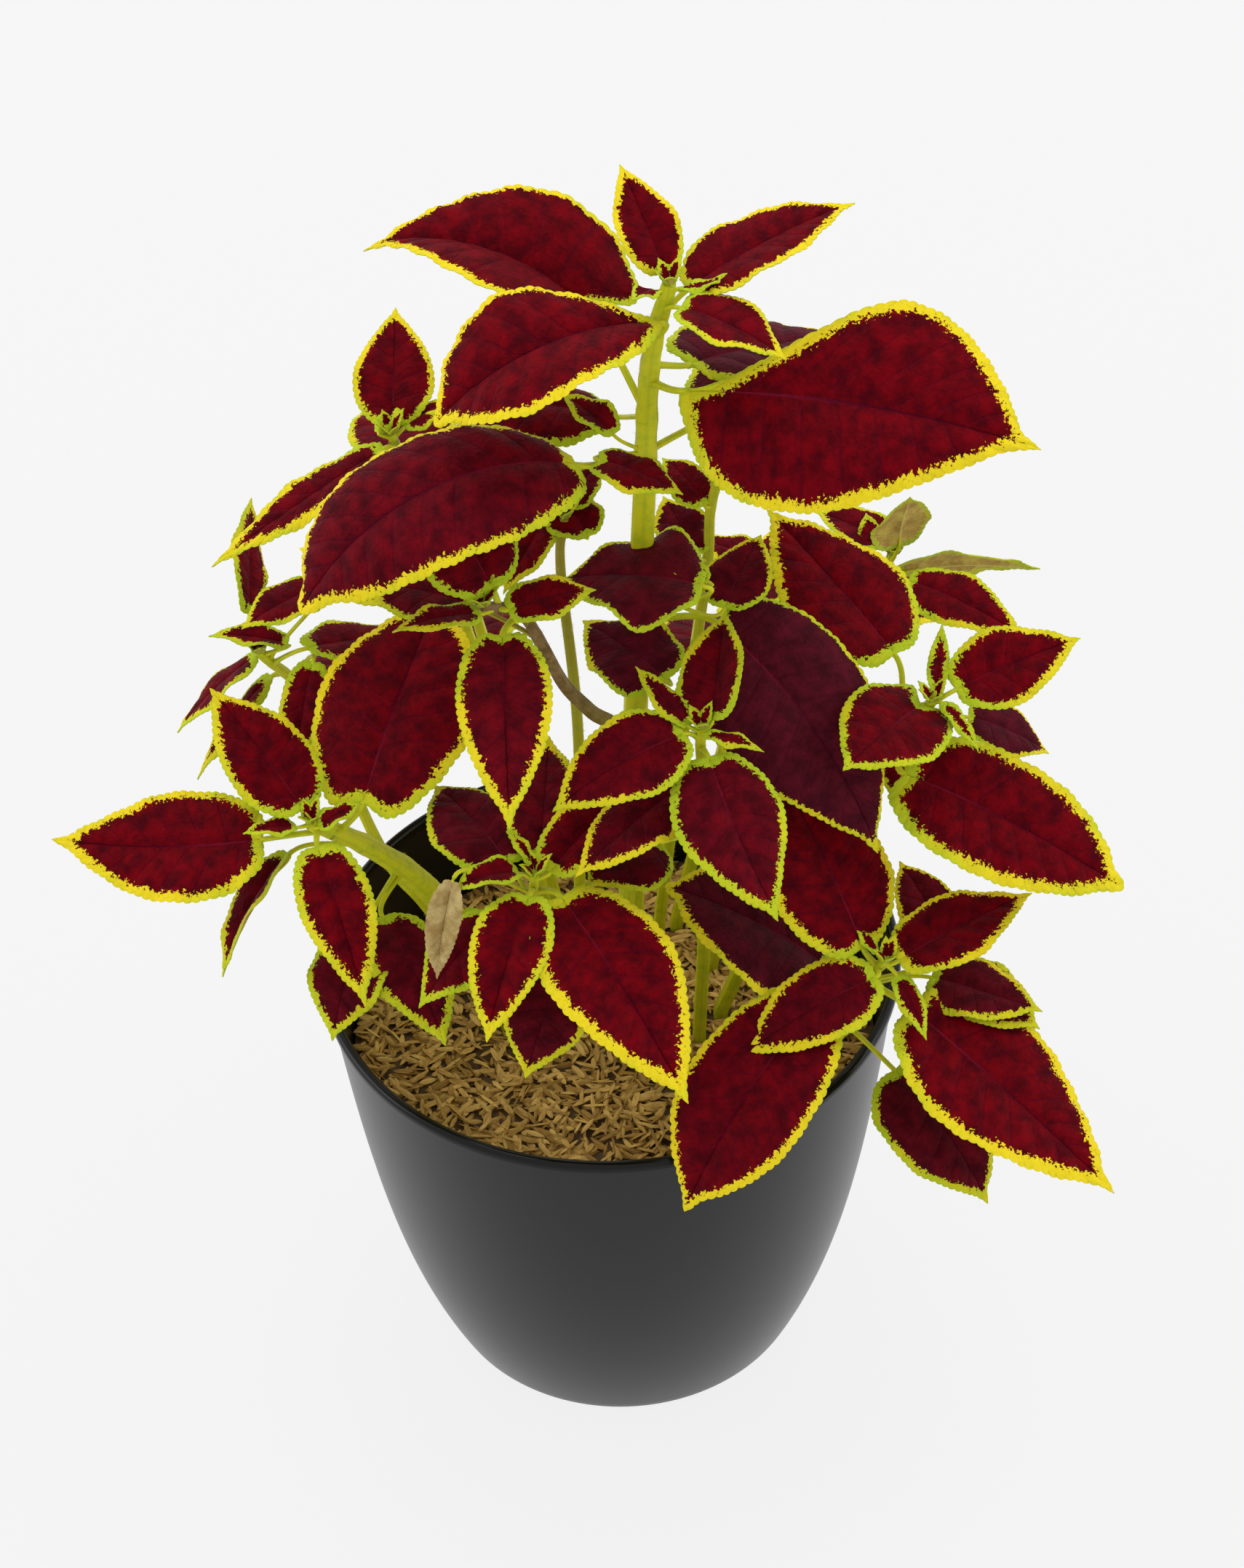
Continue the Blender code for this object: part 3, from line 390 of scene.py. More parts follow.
def smooth_path(points, per_span):
    """A Catmull-Rom curve: on each span a cubic whose ends' slopes are half the step from the point
    before to the point after."""
    points = np.asarray(points, float)
    padded = np.vstack([2 * points[0] - points[1], points, 2 * points[-1] - points[-2]])
    share = np.arange(per_span)[:, None] / per_span
    before, start, end, after = (padded[k : k + len(points) - 1, None] for k in range(4))
    spans = (
        start
        + share * (end - before) / 2
        + share**2 * (before - 2.5 * start + 2 * end - after / 2)
        + share**3 * (1.5 * start - before / 2 - 1.5 * end + after / 2)
    )
    return np.vstack([spans.reshape(-1, 3), points[-1:]])


def between(at, places, rows):
    """Rows between those given at places, by straight runs."""
    return np.stack([np.interp(at, places, column) for column in rows.T], axis=-1)


def run_length(points):
    """The distance along a path from its first point to each point."""
    return np.concatenate([[0], np.cumsum(np.linalg.norm(np.diff(points, axis=0), axis=1))])


def bell(offset, width):
    """A bell curve: e to the power of minus the square of the offset over the width."""
    return np.exp(-((offset / width) ** 2))


def smooth_step(value, low, high):
    """0 below low, 1 above high, and 3x^2 - 2x^3 of the share between them."""
    share = np.clip((value - low) / (high - low), 0, 1)
    return share * share * (3 - 2 * share)


def petiole_ends(path, leaf):
    """The point of the stem at the node's height, and the petiole's length from there along its
    heading, where the blade starts."""
    length, azimuth, rise = leaf.petiole
    node = between(leaf.node, path[:, 2], path)
    return node, node + length * heading(azimuth, rise)


def midrib(leaf, base, share):
    """Points of the midrib at shares of its length, with the side and the normal there. The heading
    falls evenly by the droop and turns evenly by the sweep, and the points are its running sum."""
    steps = np.linspace(0, 1, MIDRIB_STEPS + 1)
    along = heading(leaf.azimuth + leaf.sweep * (steps - 0.5), leaf.rise + leaf.droop * (0.5 - steps))
    run = np.vstack([np.zeros(3), np.cumsum((along[1:] + along[:-1]) / 2, axis=0)])
    inside = np.clip(share, 0, 1)
    point = base + between(inside, steps, run / MIDRIB_STEPS * leaf.length)
    point = point + np.minimum(share, 0)[..., None] * leaf.length * along[0]
    azimuth = leaf.azimuth + leaf.sweep * (inside - 0.5)
    forward = heading(azimuth, leaf.rise + leaf.droop * (0.5 - inside))
    level = heading(azimuth + 90, 0)
    turn = np.radians(leaf.roll + leaf.twist * (inside - 0.5))[..., None]
    return point, *spun(turn, level, np.cross(forward, level))


def outline(leaf, share, across):
    """Half width over its greatest: a sine of a power of the share up to the widest place, then a
    power of a cosine down to the tip, drawn in by a bell curve just before the tip."""
    inside = np.clip(share, 0, 1)
    heel = leaf.heel + np.where(across > 0, leaf.lee, 0.0)
    rising = np.sin(math.pi / 2 * np.minimum(inside / leaf.widest, 1) ** heel)
    falling = np.cos(math.pi / 2 * np.maximum(inside - leaf.widest, 0) / (1 - leaf.widest))
    return rising * np.maximum(falling, 0) ** leaf.point * (1 - TIP_DRAWN * bell(inside - 0.94, 0.055))


def joined(surfaces):
    """One surface of several, with its unused points left out."""
    shifts = np.cumsum([0] + [len(s.points) for s in surfaces])
    points = np.vstack([s.points for s in surfaces])
    faces = np.vstack([s.faces + shift for s, shift in zip(surfaces, shifts)])
    used, faces = np.unique(faces, return_inverse=True)
    values = {k: np.concatenate([s.values[k] for s in surfaces])[used] for k in surfaces[0].values}
    return Surface(points[used], faces.reshape(-1, 3), values)


def grid_faces(index):
    """Two triangles for each cell of a grid of vertex numbers, without those that have shrunk to a
    line at a pole. They face the side from which rows run down and columns to the left."""
    a, b, c, d = index[:-1, :-1], index[1:, :-1], index[1:, 1:], index[:-1, 1:]
    faces = np.stack([vectors(a, b, c), vectors(a, c, d)], axis=2).reshape(-1, 3)
    return faces[(faces != np.roll(faces, 1, axis=1)).all(axis=1)]


def ring_faces(rings, sides):
    """Faces over rings of vertices, with a fan at each end to one of the two vertices after them."""
    total = rings * sides
    index = np.pad(np.arange(total).reshape(rings, sides), ((0, 0), (0, 1)), "wrap")
    return grid_faces(np.vstack([np.full(sides + 1, total), index, np.full(sides + 1, total + 1)]))


def copies(pattern, size, number):
    """The same faces for each of a number of pieces, which have size vertices each."""
    return (size * np.arange(number)[:, None, None] + pattern).reshape(-1, 3)


def blade(leaf, base, form, seed):
    """A crenate blade with two faces. The half width follows the outline, and a row of the grid leaves
    the midrib and leans forward to the margin as a lateral vein does. The two halves fold up at the
    midrib and bend back evenly. The margin's teeth are a power of a sine of the distance along it, a
    longer sine ruffles it, and the surface puffs up between the lateral veins by a sine of their
    count. Its values are its place, the vein's count with the shares out to the margin and in from it,
    and its hue and tone with the share along it."""
    luck = np.random.default_rng(seed)
    fine = np.linspace(0, 1, OUTLINE_STEPS + 1)
    size = min(leaf.length / LARGE_BLADE, 1.3)
    reach = leaf.width / 2 * outline(leaf, fine, 0)
    arc = run_length(vectors(reach, leaf.length * fine))
    total = arc[-1]
    pitch = np.clip(1.5 + leaf.length / LARGE_BLADE, 1.6, form.tooth_pitch / MM)
    teeth = max(4, round(total / pitch))
    along = np.linspace(0, total, teeth * ROWS_PER_TOOTH + 1)[:, None]
    margin = np.interp(along, arc, fine)
    root = np.interp(margin, fine + VEIN_LEAN * fine * (1 - fine), fine)
    out, hand = np.abs(ACROSS), np.sign(ACROSS)
    share = root + (margin - root) * out

    phase = np.where(ACROSS > 0, 2 / ROWS_PER_TOOTH, 0.0)
    tooth = np.abs(np.sin(math.pi * (along / total * teeth + phase))) ** 0.75
    fade = np.clip(np.minimum(along, total - along) / (1.5 * pitch), 0, 1)
    depth = form.tooth_depth / MM * np.clip(size, 0.35, 1)
    lobe = depth * fade * (tooth - 0.35) * np.clip((out - 0.7) / 0.3, 0, 1) ** 2
    slope = np.gradient(reach, fine)
    steep = np.interp(margin, fine, slope / np.hypot(slope, leaf.length))
    sunk = 1 - (1 - np.clip(share / 0.06, 0, 1)) ** 2
    full = outline(leaf, share, ACROSS)
    placed = share - leaf.heart * out**2 * (1 - share) ** 4 * sunk + leaf.skew * ACROSS * full
    placed = placed - lobe * steep / leaf.length
    point, side, normal = midrib(leaf, base, placed)
    half = leaf.width / 2 * full + lobe * np.sqrt(1 - steep**2)

    fold, bend = math.radians(leaf.fold), math.radians(leaf.bend)
    level = half * (math.sin(fold) - np.sin(fold - bend * out)) / bend
    lift = half * (np.cos(fold - bend * out) - math.cos(fold)) / bend
    swing = leaf.azimuth + np.where(ACROSS > 0, 2.0, 0.0)
    lift += leaf.wave * out**2 * full * np.sin(2 * math.pi * WAVES * share + swing)
    ruffle = np.sin(2 * math.pi * along / form.ruffle_length * MM + 3 * hand + seed)
    lift += form.ruffle_height / MM * size * fade * ruffle * out**4
    veins = np.clip(round(4 + leaf.length / 16), 5, 10)
    count = veins * root + 0.25 * hand
    puff = np.abs(np.sin(math.pi * count)) ** 1.2 * np.sqrt(out * (1 - out)) * 2
    lift += form.quilt_height / MM * size * fade * puff
    lift -= 0.25 * size * (out == 0) * fade
    middle = point + (hand * level)[..., None] * side + lift[..., None] * normal

    upright = np.cross(np.gradient(middle, axis=0), np.gradient(middle, axis=1))
    upright[0], upright[-1] = upright[2], upright[-3]
    upright = unit(upright)
    thin = form.thickness / MM / 2 * np.where(out == 1, 0.6, 1.0)
    rib = size * np.clip(1 - share, 0, 1) ** 0.8 * np.select([out == 0, out < 0.1], [1.0, 0.45], 0.0)
    upper = middle + thin[:, None] * upright
    lower = middle - (thin + rib * np.clip(size, 0.4, 1))[..., None] * upright

    flat = vectors(ACROSS * half, placed * leaf.length)
    rim = np.concatenate([flat[:, 0], flat[:, -1]])
    inward = np.linalg.norm(flat[:, :, None] - rim, axis=-1).min(axis=-1)
    inward = inward / ((0.8 + 0.029 * leaf.length) * leaf.band)
    place = vectors(flat[..., 0] + 50.0 * seed, flat[..., 1], root * leaf.length)
    vein = vectors(count, out, inward)
    hue = np.clip(leaf.hue + luck.uniform(-0.06, 0.06), 0, 1) if leaf.hue >= 0 else -1
    tone = np.clip(leaf.tone + luck.uniform(-0.08, 0.08), 0, 1)
    look = vectors(hue, tone, np.clip(share, 0, 1))

    index = np.arange(share.size).reshape(share.shape)
    centre = len(COLUMNS) - 1
    index[0], index[-1] = index[0, centre], index[-1, centre]
    other = index + index.size
    faces = (
        grid_faces(index),
        grid_faces(other)[:, ::-1],
        grid_faces(vectors(other[:, 0], index[:, 0])),
        grid_faces(vectors(index[:, -1], other[:, -1])),
    )
    return surface_of(
        np.stack([upper, lower]),
        np.vstack(faces),
        place=np.stack([place, place]),
        vein=np.stack([vein, vein]),
        look=np.stack([look, look + [0, 0, 2]]),
    )


def tube(points, radii, section, upward, near, brown):
    """A profile carried along a path: at each point the section, a radius for each turn round it, times
    the point's own radius, in the plane square to the path. Fans close its ends. Its values are the
    section, how near a node is, and how brown it is."""
    ahead = unit(np.gradient(points, axis=0))
    top = unit(upward - (ahead @ upward)[:, None] * ahead)
    sides = len(section)
    around, _ = spun(turns(sides)[:, None], top[:, None], np.cross(top, ahead)[:, None])
    rings = points[:, None] + radii[:, None, None] * section[:, None] * around
    every = np.vstack([rings.reshape(-1, 3), points[[0, -1]]])
    stalk = vectors(section, near[:, None], brown[:, None]).reshape(-1, 3)
    stalk = np.vstack([stalk, vectors(0, near, brown)[[0, -1]]])
    return surface_of(every, ring_faces(len(points), sides), stalk=stalk)


def stem_surface(stem, leaves):
    """The stem: four-angled, with a swelling at each node, which is a bell curve of the height."""
    foot = [*stem.path[0][:2], STEM_FOOT]
    above = np.vstack([foot, smooth_path(stem.path, 2)])
    shares = np.linspace(0, 1, len(above)) ** 1.5
    widths = stem.foot + (stem.tip - stem.foot) * shares
    finer = np.vstack([foot, smooth_path(stem.path, PATH_STEPS)])
    length = run_length(finer)
    steps = np.linspace(0, length[-1], max(12, int(length[-1] / STEM_STEP)))
    points = between(steps, length, finer)
    heights = points[:, 2]
    near = bell(np.abs(heights[:, None] - [leaf.node for leaf in leaves]).min(axis=1), NODE_REACH)
    radii = np.interp(heights, above[:, 2], widths) / 2 * (1 + NODE_SWELLING * near)
    section = 0.93 + 0.1 * np.cos(4 * turns(STEM_SIDES))
    brown = stem.brown * smooth_step(heights, BROWN_FROM, BROWN_TO)
    return tube(points, radii, section, np.array([0.7, 0.7, 0.0]), near, brown)


def petiole_surface(leaf, path, brown):
    """The petiole: a cubic from the node to the blade's base that leaves along its own heading and
    arrives along the midrib, then on under the midrib. Its section is a gutter, hollowed on top."""
    foot, base = petiole_ends(path, leaf)
    length, azimuth, rise = leaf.petiole
    leave = length * heading(azimuth, rise + 6)
    arrive = 0.9 * length * heading(leaf.azimuth, leaf.rise + leaf.droop / 2)
    steps = np.linspace(0, 1, max(6, int(length / PETIOLE_STEP)))[:, None]
    curve = (
        (2 * steps**3 - 3 * steps**2 + 1) * foot
        + (steps**3 - 2 * steps**2 + steps) * leave
        + (3 * steps**2 - 2 * steps**3) * base
        + (steps**3 - steps**2) * arrive
    )
    width = np.clip(1.1 + leaf.length / LARGE_BLADE, 1.2, 2.6)
    under, _, normal = midrib(leaf, base, np.linspace(0.02, 0.2, len(PETIOLE_SUNK)))
    curve = np.vstack([curve, under - normal * PETIOLE_SUNK[:, None] * width])
    run = run_length(curve)
    joint, first = run[len(steps) - 1], run[len(steps) + 1]
    places = [0, 1.5, 4, joint, first, run[-1]]
    radii = width / 2 * np.interp(run, places, [1.5, 1.3, 1.0, 0.85, 0.7, 0.2])
    section = 1 - 0.34 * np.maximum(np.cos(turns(PETIOLE_SIDES)), 0) ** 3
    top = np.cross(heading(azimuth, rise), heading(azimuth + 90, 0))
    shade = 0 * run + (0.6 * brown if leaf.node < PETIOLE_GREEN_FROM else 0.0)
    return tube(curve, radii, section, top, bell(run, 2.5), shade)


def hairs_on(surface, number, length, luck):
    """Short hairs: thin pyramids on three points, at random places of the surface's triangles, square
    to them but for a little chance."""
    corners = surface.points[surface.faces]
    square = np.cross(corners[:, 1] - corners[:, 0], corners[:, 2] - corners[:, 0])
    area = np.linalg.norm(square, axis=1)
    pick = luck.choice(len(area), number, p=area / area.sum())
    weight = luck.dirichlet([1, 1, 1], number)
    root = (corners[pick] * weight[..., None]).sum(axis=1)
    lean = unit(square[pick] / area[pick, None] + 0.35 * luck.normal(size=(number, 3)))
    side = unit(np.cross(lean, luck.normal(size=(number, 3))))
    ring, _ = spun(turns(3)[:, None], side[:, None], np.cross(lean, side)[:, None])
    feet = root[:, None] - 0.1 * lean[:, None] + 0.055 * ring
    tips = root + lean * (length * luck.uniform(0.5, 1.1, (number, 1)))
    points = np.concatenate([feet, tips[:, None]], axis=1)
    pattern = np.array([[0, 1, 3], [1, 2, 3], [2, 0, 3], [0, 2, 1]])
    return surface_of(points, copies(pattern, 4, number))


def turned(profile, sides):
    """A closed surface turned from a profile of (radius, height) points whose ends lie on the axis."""
    radii, heights = np.array(profile, float).T[..., None]
    turn = turns(sides)
    rings = vectors(radii * np.cos(turn), radii * np.sin(turn), heights)
    points = np.vstack([rings[1:-1].reshape(-1, 3), rings[[0, -1], 0]])
    return surface_of(points, ring_faces(len(rings) - 2, sides))


def wall_radius(height):
    """The pot's outer radius: the rim's, less a polynomial of the depth below the rim, less a share of
    the height by which the lip stands proud."""
    depth = (POT_HEIGHT - height) / POT_HEIGHT
    radius = RIM_RADIUS + (BASE_RADIUS - RIM_RADIUS) * (0.5 * depth + 0.13 * depth**2 + 0.37 * depth**4)
    return radius - LIP_PROUD * height / POT_HEIGHT


def pot_profile():
    """The pot's half section from the middle of its floor: up the inner wall, over the lip on an arc,
    down the outer wall, round the foot and back under the base."""
    under = POT_HEIGHT - LIP_HEIGHT
    centre, top = RIM_RADIUS - LIP_ROLL, POT_HEIGHT - LIP_ROLL
    heights = np.concatenate([np.linspace(FLOOR, 140, 24), np.linspace(144, 166, 8)])
    return (
        [(r, FLOOR) for r in (0, 20, 40, 60)]
        + [(wall_radius(h) - WALL, h) for h in heights]
        + [
            (centre + LIP_ROLL * math.cos(turn), top + LIP_ROLL * math.sin(turn))
            for turn in np.radians(np.linspace(150, 0, 12))
        ]
        + [(RIM_RADIUS, under + 0.5), (RIM_RADIUS - 0.5, under)]
        + [(wall_radius(h), h) for h in np.linspace(under - 0.3, 3, 60)]
        + [(BASE_RADIUS - 1.1, 1.4), (BASE_RADIUS - 1.6, 0.8), (BASE_RADIUS - 3, 0), (30, 0), (0, 0)]
    )


def hull_cloud(form, luck):
    """Rice hulls: each is a boat of four rings of four points between two tips, whose width is a sine
    of the share along it. They lie at random on the bed, clear of the stems, tipped and rolled."""
    distance = (MULCH_RADIUS - 3.2) * np.sqrt(luck.random(form.hull_count))
    turn = luck.uniform(0, 2 * math.pi, form.hull_count)
    centre = vectors(distance * np.cos(turn), distance * np.sin(turn))
    for stem, *_ in STEMS.values():
        centre = centre[np.linalg.norm(centre - stem.path[0][:2], axis=1) > stem.foot / 2 + 1.2]
    number = len(centre)
    length = form.hull_length / MM * luck.uniform(0.6, 1.2, number)
    width = form.hull_width / MM * luck.uniform(0.75, 1.2, number)
    beam = np.sin(math.pi * HULL_STATIONS) ** 0.5
    body = vectors(HULL_STATIONS - 0.5, beam * HULL_SIDE / 2, beam * HULL_RISE).reshape(-1, 3)
    body = np.vstack([body, [[-0.5, 0, -0.02], [0.5, 0, -0.02]]])
    scaled = body * vectors(length, width, width)[:, None]
    lie = luck.uniform(0, 360, number)
    tip = np.degrees(luck.normal(0, HULL_TIP, number))
    roll = luck.normal(0, HULL_ROLL, number)
    roll = np.where(luck.random(number) < HULL_OVER, roll + math.pi, roll)[:, None]
    forward, level = heading(lie, tip), heading(lie + 90, 0)
    axes = np.stack([forward, *spun(roll, level, np.cross(forward, level))], axis=1)
    place = np.column_stack([centre, BED_TOP + HULL_LAYER * luck.random(number)])
    tone = luck.random((number, 1))
    return surface_of(
        place[:, None] + scaled @ axes,
        copies(ring_faces(len(beam), len(HULL_SIDE))[:, ::-1], len(body), number),
        grain=vectors(scaled[..., 0] + 20 * tone, scaled[..., 1], 0),
        hull=vectors(tone, body[:, 0] + 0.5, 1),
    )


def mulch_bed(luck):
    """The bed under the loose hulls: a disc whose height is a sum of a few sines, closed below."""
    profile = [(radius, BED_TOP) for radius in np.linspace(0, MULCH_RADIUS - 0.8, 34)]
    profile += [(MULCH_RADIUS - 1.2, MULCH_TOP - MULCH_DEPTH), (0.0, MULCH_TOP - MULCH_DEPTH)]
    points, faces, _ = turned(profile, BED_SIDES)
    waves = luck.normal(0, 0.35, (6, 2))
    swell = sum(np.sin(points[:, :2] @ wave + k) for k, wave in enumerate(waves)) * 0.16
    points[:, 2] += np.where(points[:, 2] > MULCH_TOP - 5, swell, 0)
    # The bed's third hull value of 0 gives it the dark brown of painted shade between the hulls.
    return surface_of(points, faces, grain=points * [1, 1, 0], hull=0 * points + [0.1, 0.5, 0.0])


# Meshes


def linked(name, data):
    """A new object of some data, in the scene."""
    made = bpy.data.objects.new(name, data)
    bpy.context.scene.collection.objects.link(made)
    return made


def mesh_object(name, surface, material, angle):
    """A mesh object of a surface in millimetres, smooth but for edges sharper than the angle."""
    mesh = bpy.data.meshes.new(name)
    mesh.vertices.add(len(surface.points))
    mesh.vertices.foreach_set("co", (surface.points * MM).ravel())
    mesh.loops.add(surface.faces.size)
    mesh.loops.foreach_set("vertex_index", surface.faces.ravel().astype(np.int32))
    mesh.polygons.add(len(surface.faces))
    mesh.polygons.foreach_set("loop_start", np.arange(0, surface.faces.size, 3, dtype=np.int32))
    mesh.update(calc_edges=True)
    mesh.validate()
    for key, rows in surface.values.items():
        attribute = mesh.attributes.new(key, "FLOAT_VECTOR", "POINT")
        attribute.data.foreach_set("vector", rows.astype(np.float32).ravel())
    mesh.shade_smooth()
    mesh.set_sharp_from_angle(angle=math.radians(angle))
    mesh.materials.append(material)
    made = linked(name, mesh)
    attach(made, "root")
    return made


def view_matrix(place, back, level, roll=0.0):
    """A matrix at a place that looks away from back, with X level before it is rolled about its own
    axis, in radians."""
    right, up = spun(roll, level, np.cross(back, level))
    return Matrix([*np.stack([right, up, back, place], axis=1).tolist(), [0, 0, 0, 1]])


# Materials


class Net:
    """Adds shader nodes to a new material and feeds them by values or sockets. line is the value times
    a slope plus a start, and step rises smoothly from 0 at low to full at high."""

    def __init__(self, name, **values):
        self.material = bpy.data.materials.new(name)
        self.material.use_nodes = True
        self.tree = self.material.node_tree
        self.shader = self.tree.nodes["Principled BSDF"]
        for key, value in values.items():
            self.shader.inputs[key.replace("_", " ")].default_value = value

    def feed(self, socket, value):
        if isinstance(value, bpy.types.NodeSocket):
            self.tree.links.new(value, socket)
        else:
            socket.default_value = value

    def node(self, kind, feeds, **settings):
        made = self.tree.nodes.new(kind)
        for key, value in settings.items():
            setattr(made, key, value)
        for key, value in feeds.items():
            self.feed(made.inputs[key], value)
        return made

    def maths(self, operation, *feeds):
        return self.node("ShaderNodeMath", dict(enumerate(feeds)), operation=operation).outputs[0]

    def plus(self, first, *more):
        for feed in more:
            first = self.maths("ADD", first, feed)
        return first

    def times(self, first, *more):
        for feed in more:
            first = self.maths("MULTIPLY", first, feed)
        return first

    def line(self, value, slope, start):
        return self.maths("MULTIPLY_ADD", value, slope, start)

    def step(self, value, low, high, full=1.0):
        feeds = {"Value": value, "From Min": low, "From Max": high, "To Max": full}
        return self.node("ShaderNodeMapRange", feeds, interpolation_type="SMOOTHSTEP").outputs[0]

    def place(self):
        return self.node("ShaderNodeTexCoord", {}).outputs["Object"]

    def parts(self, vector):
        return self.node("ShaderNodeSeparateXYZ", {0: vector}).outputs[:3]

    def attribute(self, name):
        return self.parts(self.node("ShaderNodeAttribute", {}, attribute_name=name).outputs["Vector"])

    def vector(self, x, y, z):
        return self.node("ShaderNodeCombineXYZ", {0: x, 1: y, 2: z}).outputs[0]

    def noise(self, vector, scale, detail=2.0, roughness=0.5):
        feeds = {"Vector": vector, "Scale": scale, "Detail": detail, "Roughness": roughness}
        return self.node("ShaderNodeTexNoise", feeds).outputs[0]

    def mix(self, share, first, second):
        made = self.node("ShaderNodeMix", {0: share}, data_type="RGBA")
        for socket, value in zip(made.inputs[6:8], (first, second)):
            self.feed(socket, value if isinstance(value, bpy.types.NodeSocket) else (*value, 1.0))
        return made.outputs[2]

    def finish(self, colour, height, strength, distance):
        self.feed(self.shader.inputs["Base Color"], colour)
        feeds = {"Height": height, "Strength": strength, "Distance": distance}
        self.feed(self.shader.inputs["Normal"], self.node("ShaderNodeBump", feeds).outputs[0])
        return self.material


def pot_material(form):
    """Satin moulded plastic: an even colour on the body, glossier at the lip and painted near black
    there as a painted dark reflection, with a very fine orange-peel grain.
    """
    net = Net("pot_plastic_satin", Specular_IOR_Level=0.23)
    place = net.place()
    under = POT_HEIGHT - LIP_HEIGHT
    above = net.step(net.parts(place)[2], (under - 0.3) * MM, under * MM)
    net.feed(net.shader.inputs["Roughness"], net.line(above, -0.1, 0.3))
    # Above the lip's underside the colour turns to the lip colour, a painted dark reflection of the
    # glossy lip.
    colour = net.mix(above, form.body_colour, form.lip_colour)
    return net.finish(colour, net.noise(place, 900.0, 1.0), 0.03, 0.0003)


def mix_material():
    """Dark moist potting mix: brown crumbs with paler fibres."""
    net = Net("potting_mix_crumbs", Roughness=0.9)
    crumbs = net.noise(net.place(), 350.0, 5.0, 0.65)
    colour = net.mix(net.step(crumbs, 0.42, 0.66), (0.018, 0.011, 0.007), (0.09, 0.055, 0.03))
    return net.finish(colour, crumbs, 0.8, 0.0015)


def hull_material(form):
    """Dry rice hulls: straw that goes from pale to brown from hull to hull, streaked along each hull,
    with darker tips, and painted a darker brown on the bed below as painted shade in the gaps between
    the hulls."""
    net = Net("rice_hull_straw", Roughness=0.62, Specular_IOR_Level=0.35)
    tone, along, loose = net.attribute("hull")
    x, y, _ = net.attribute("grain")
    streak = net.noise(net.vector(net.times(x, 0.35), net.times(y, 3.2), tone), 1.0, 3.0)
    shade = net.line(tone, 0.75, net.line(streak, 1.1, -0.42))
    straw = net.mix(net.step(shade, 0.0, 1.0), form.dark_colour, form.pale_colour)
    tips = net.maths("ABSOLUTE", net.plus(along, -0.5))
    straw = net.mix(net.step(tips, 0.32, 0.5, 0.45), straw, form.dark_colour)
    # The bed under the hulls is painted dark brown as painted shade in the gaps between them.
    straw = net.mix(net.step(loose, 0.4, 0.6), (0.11, 0.062, 0.022), straw)
    return net.finish(straw, streak, 0.5, 0.0003)


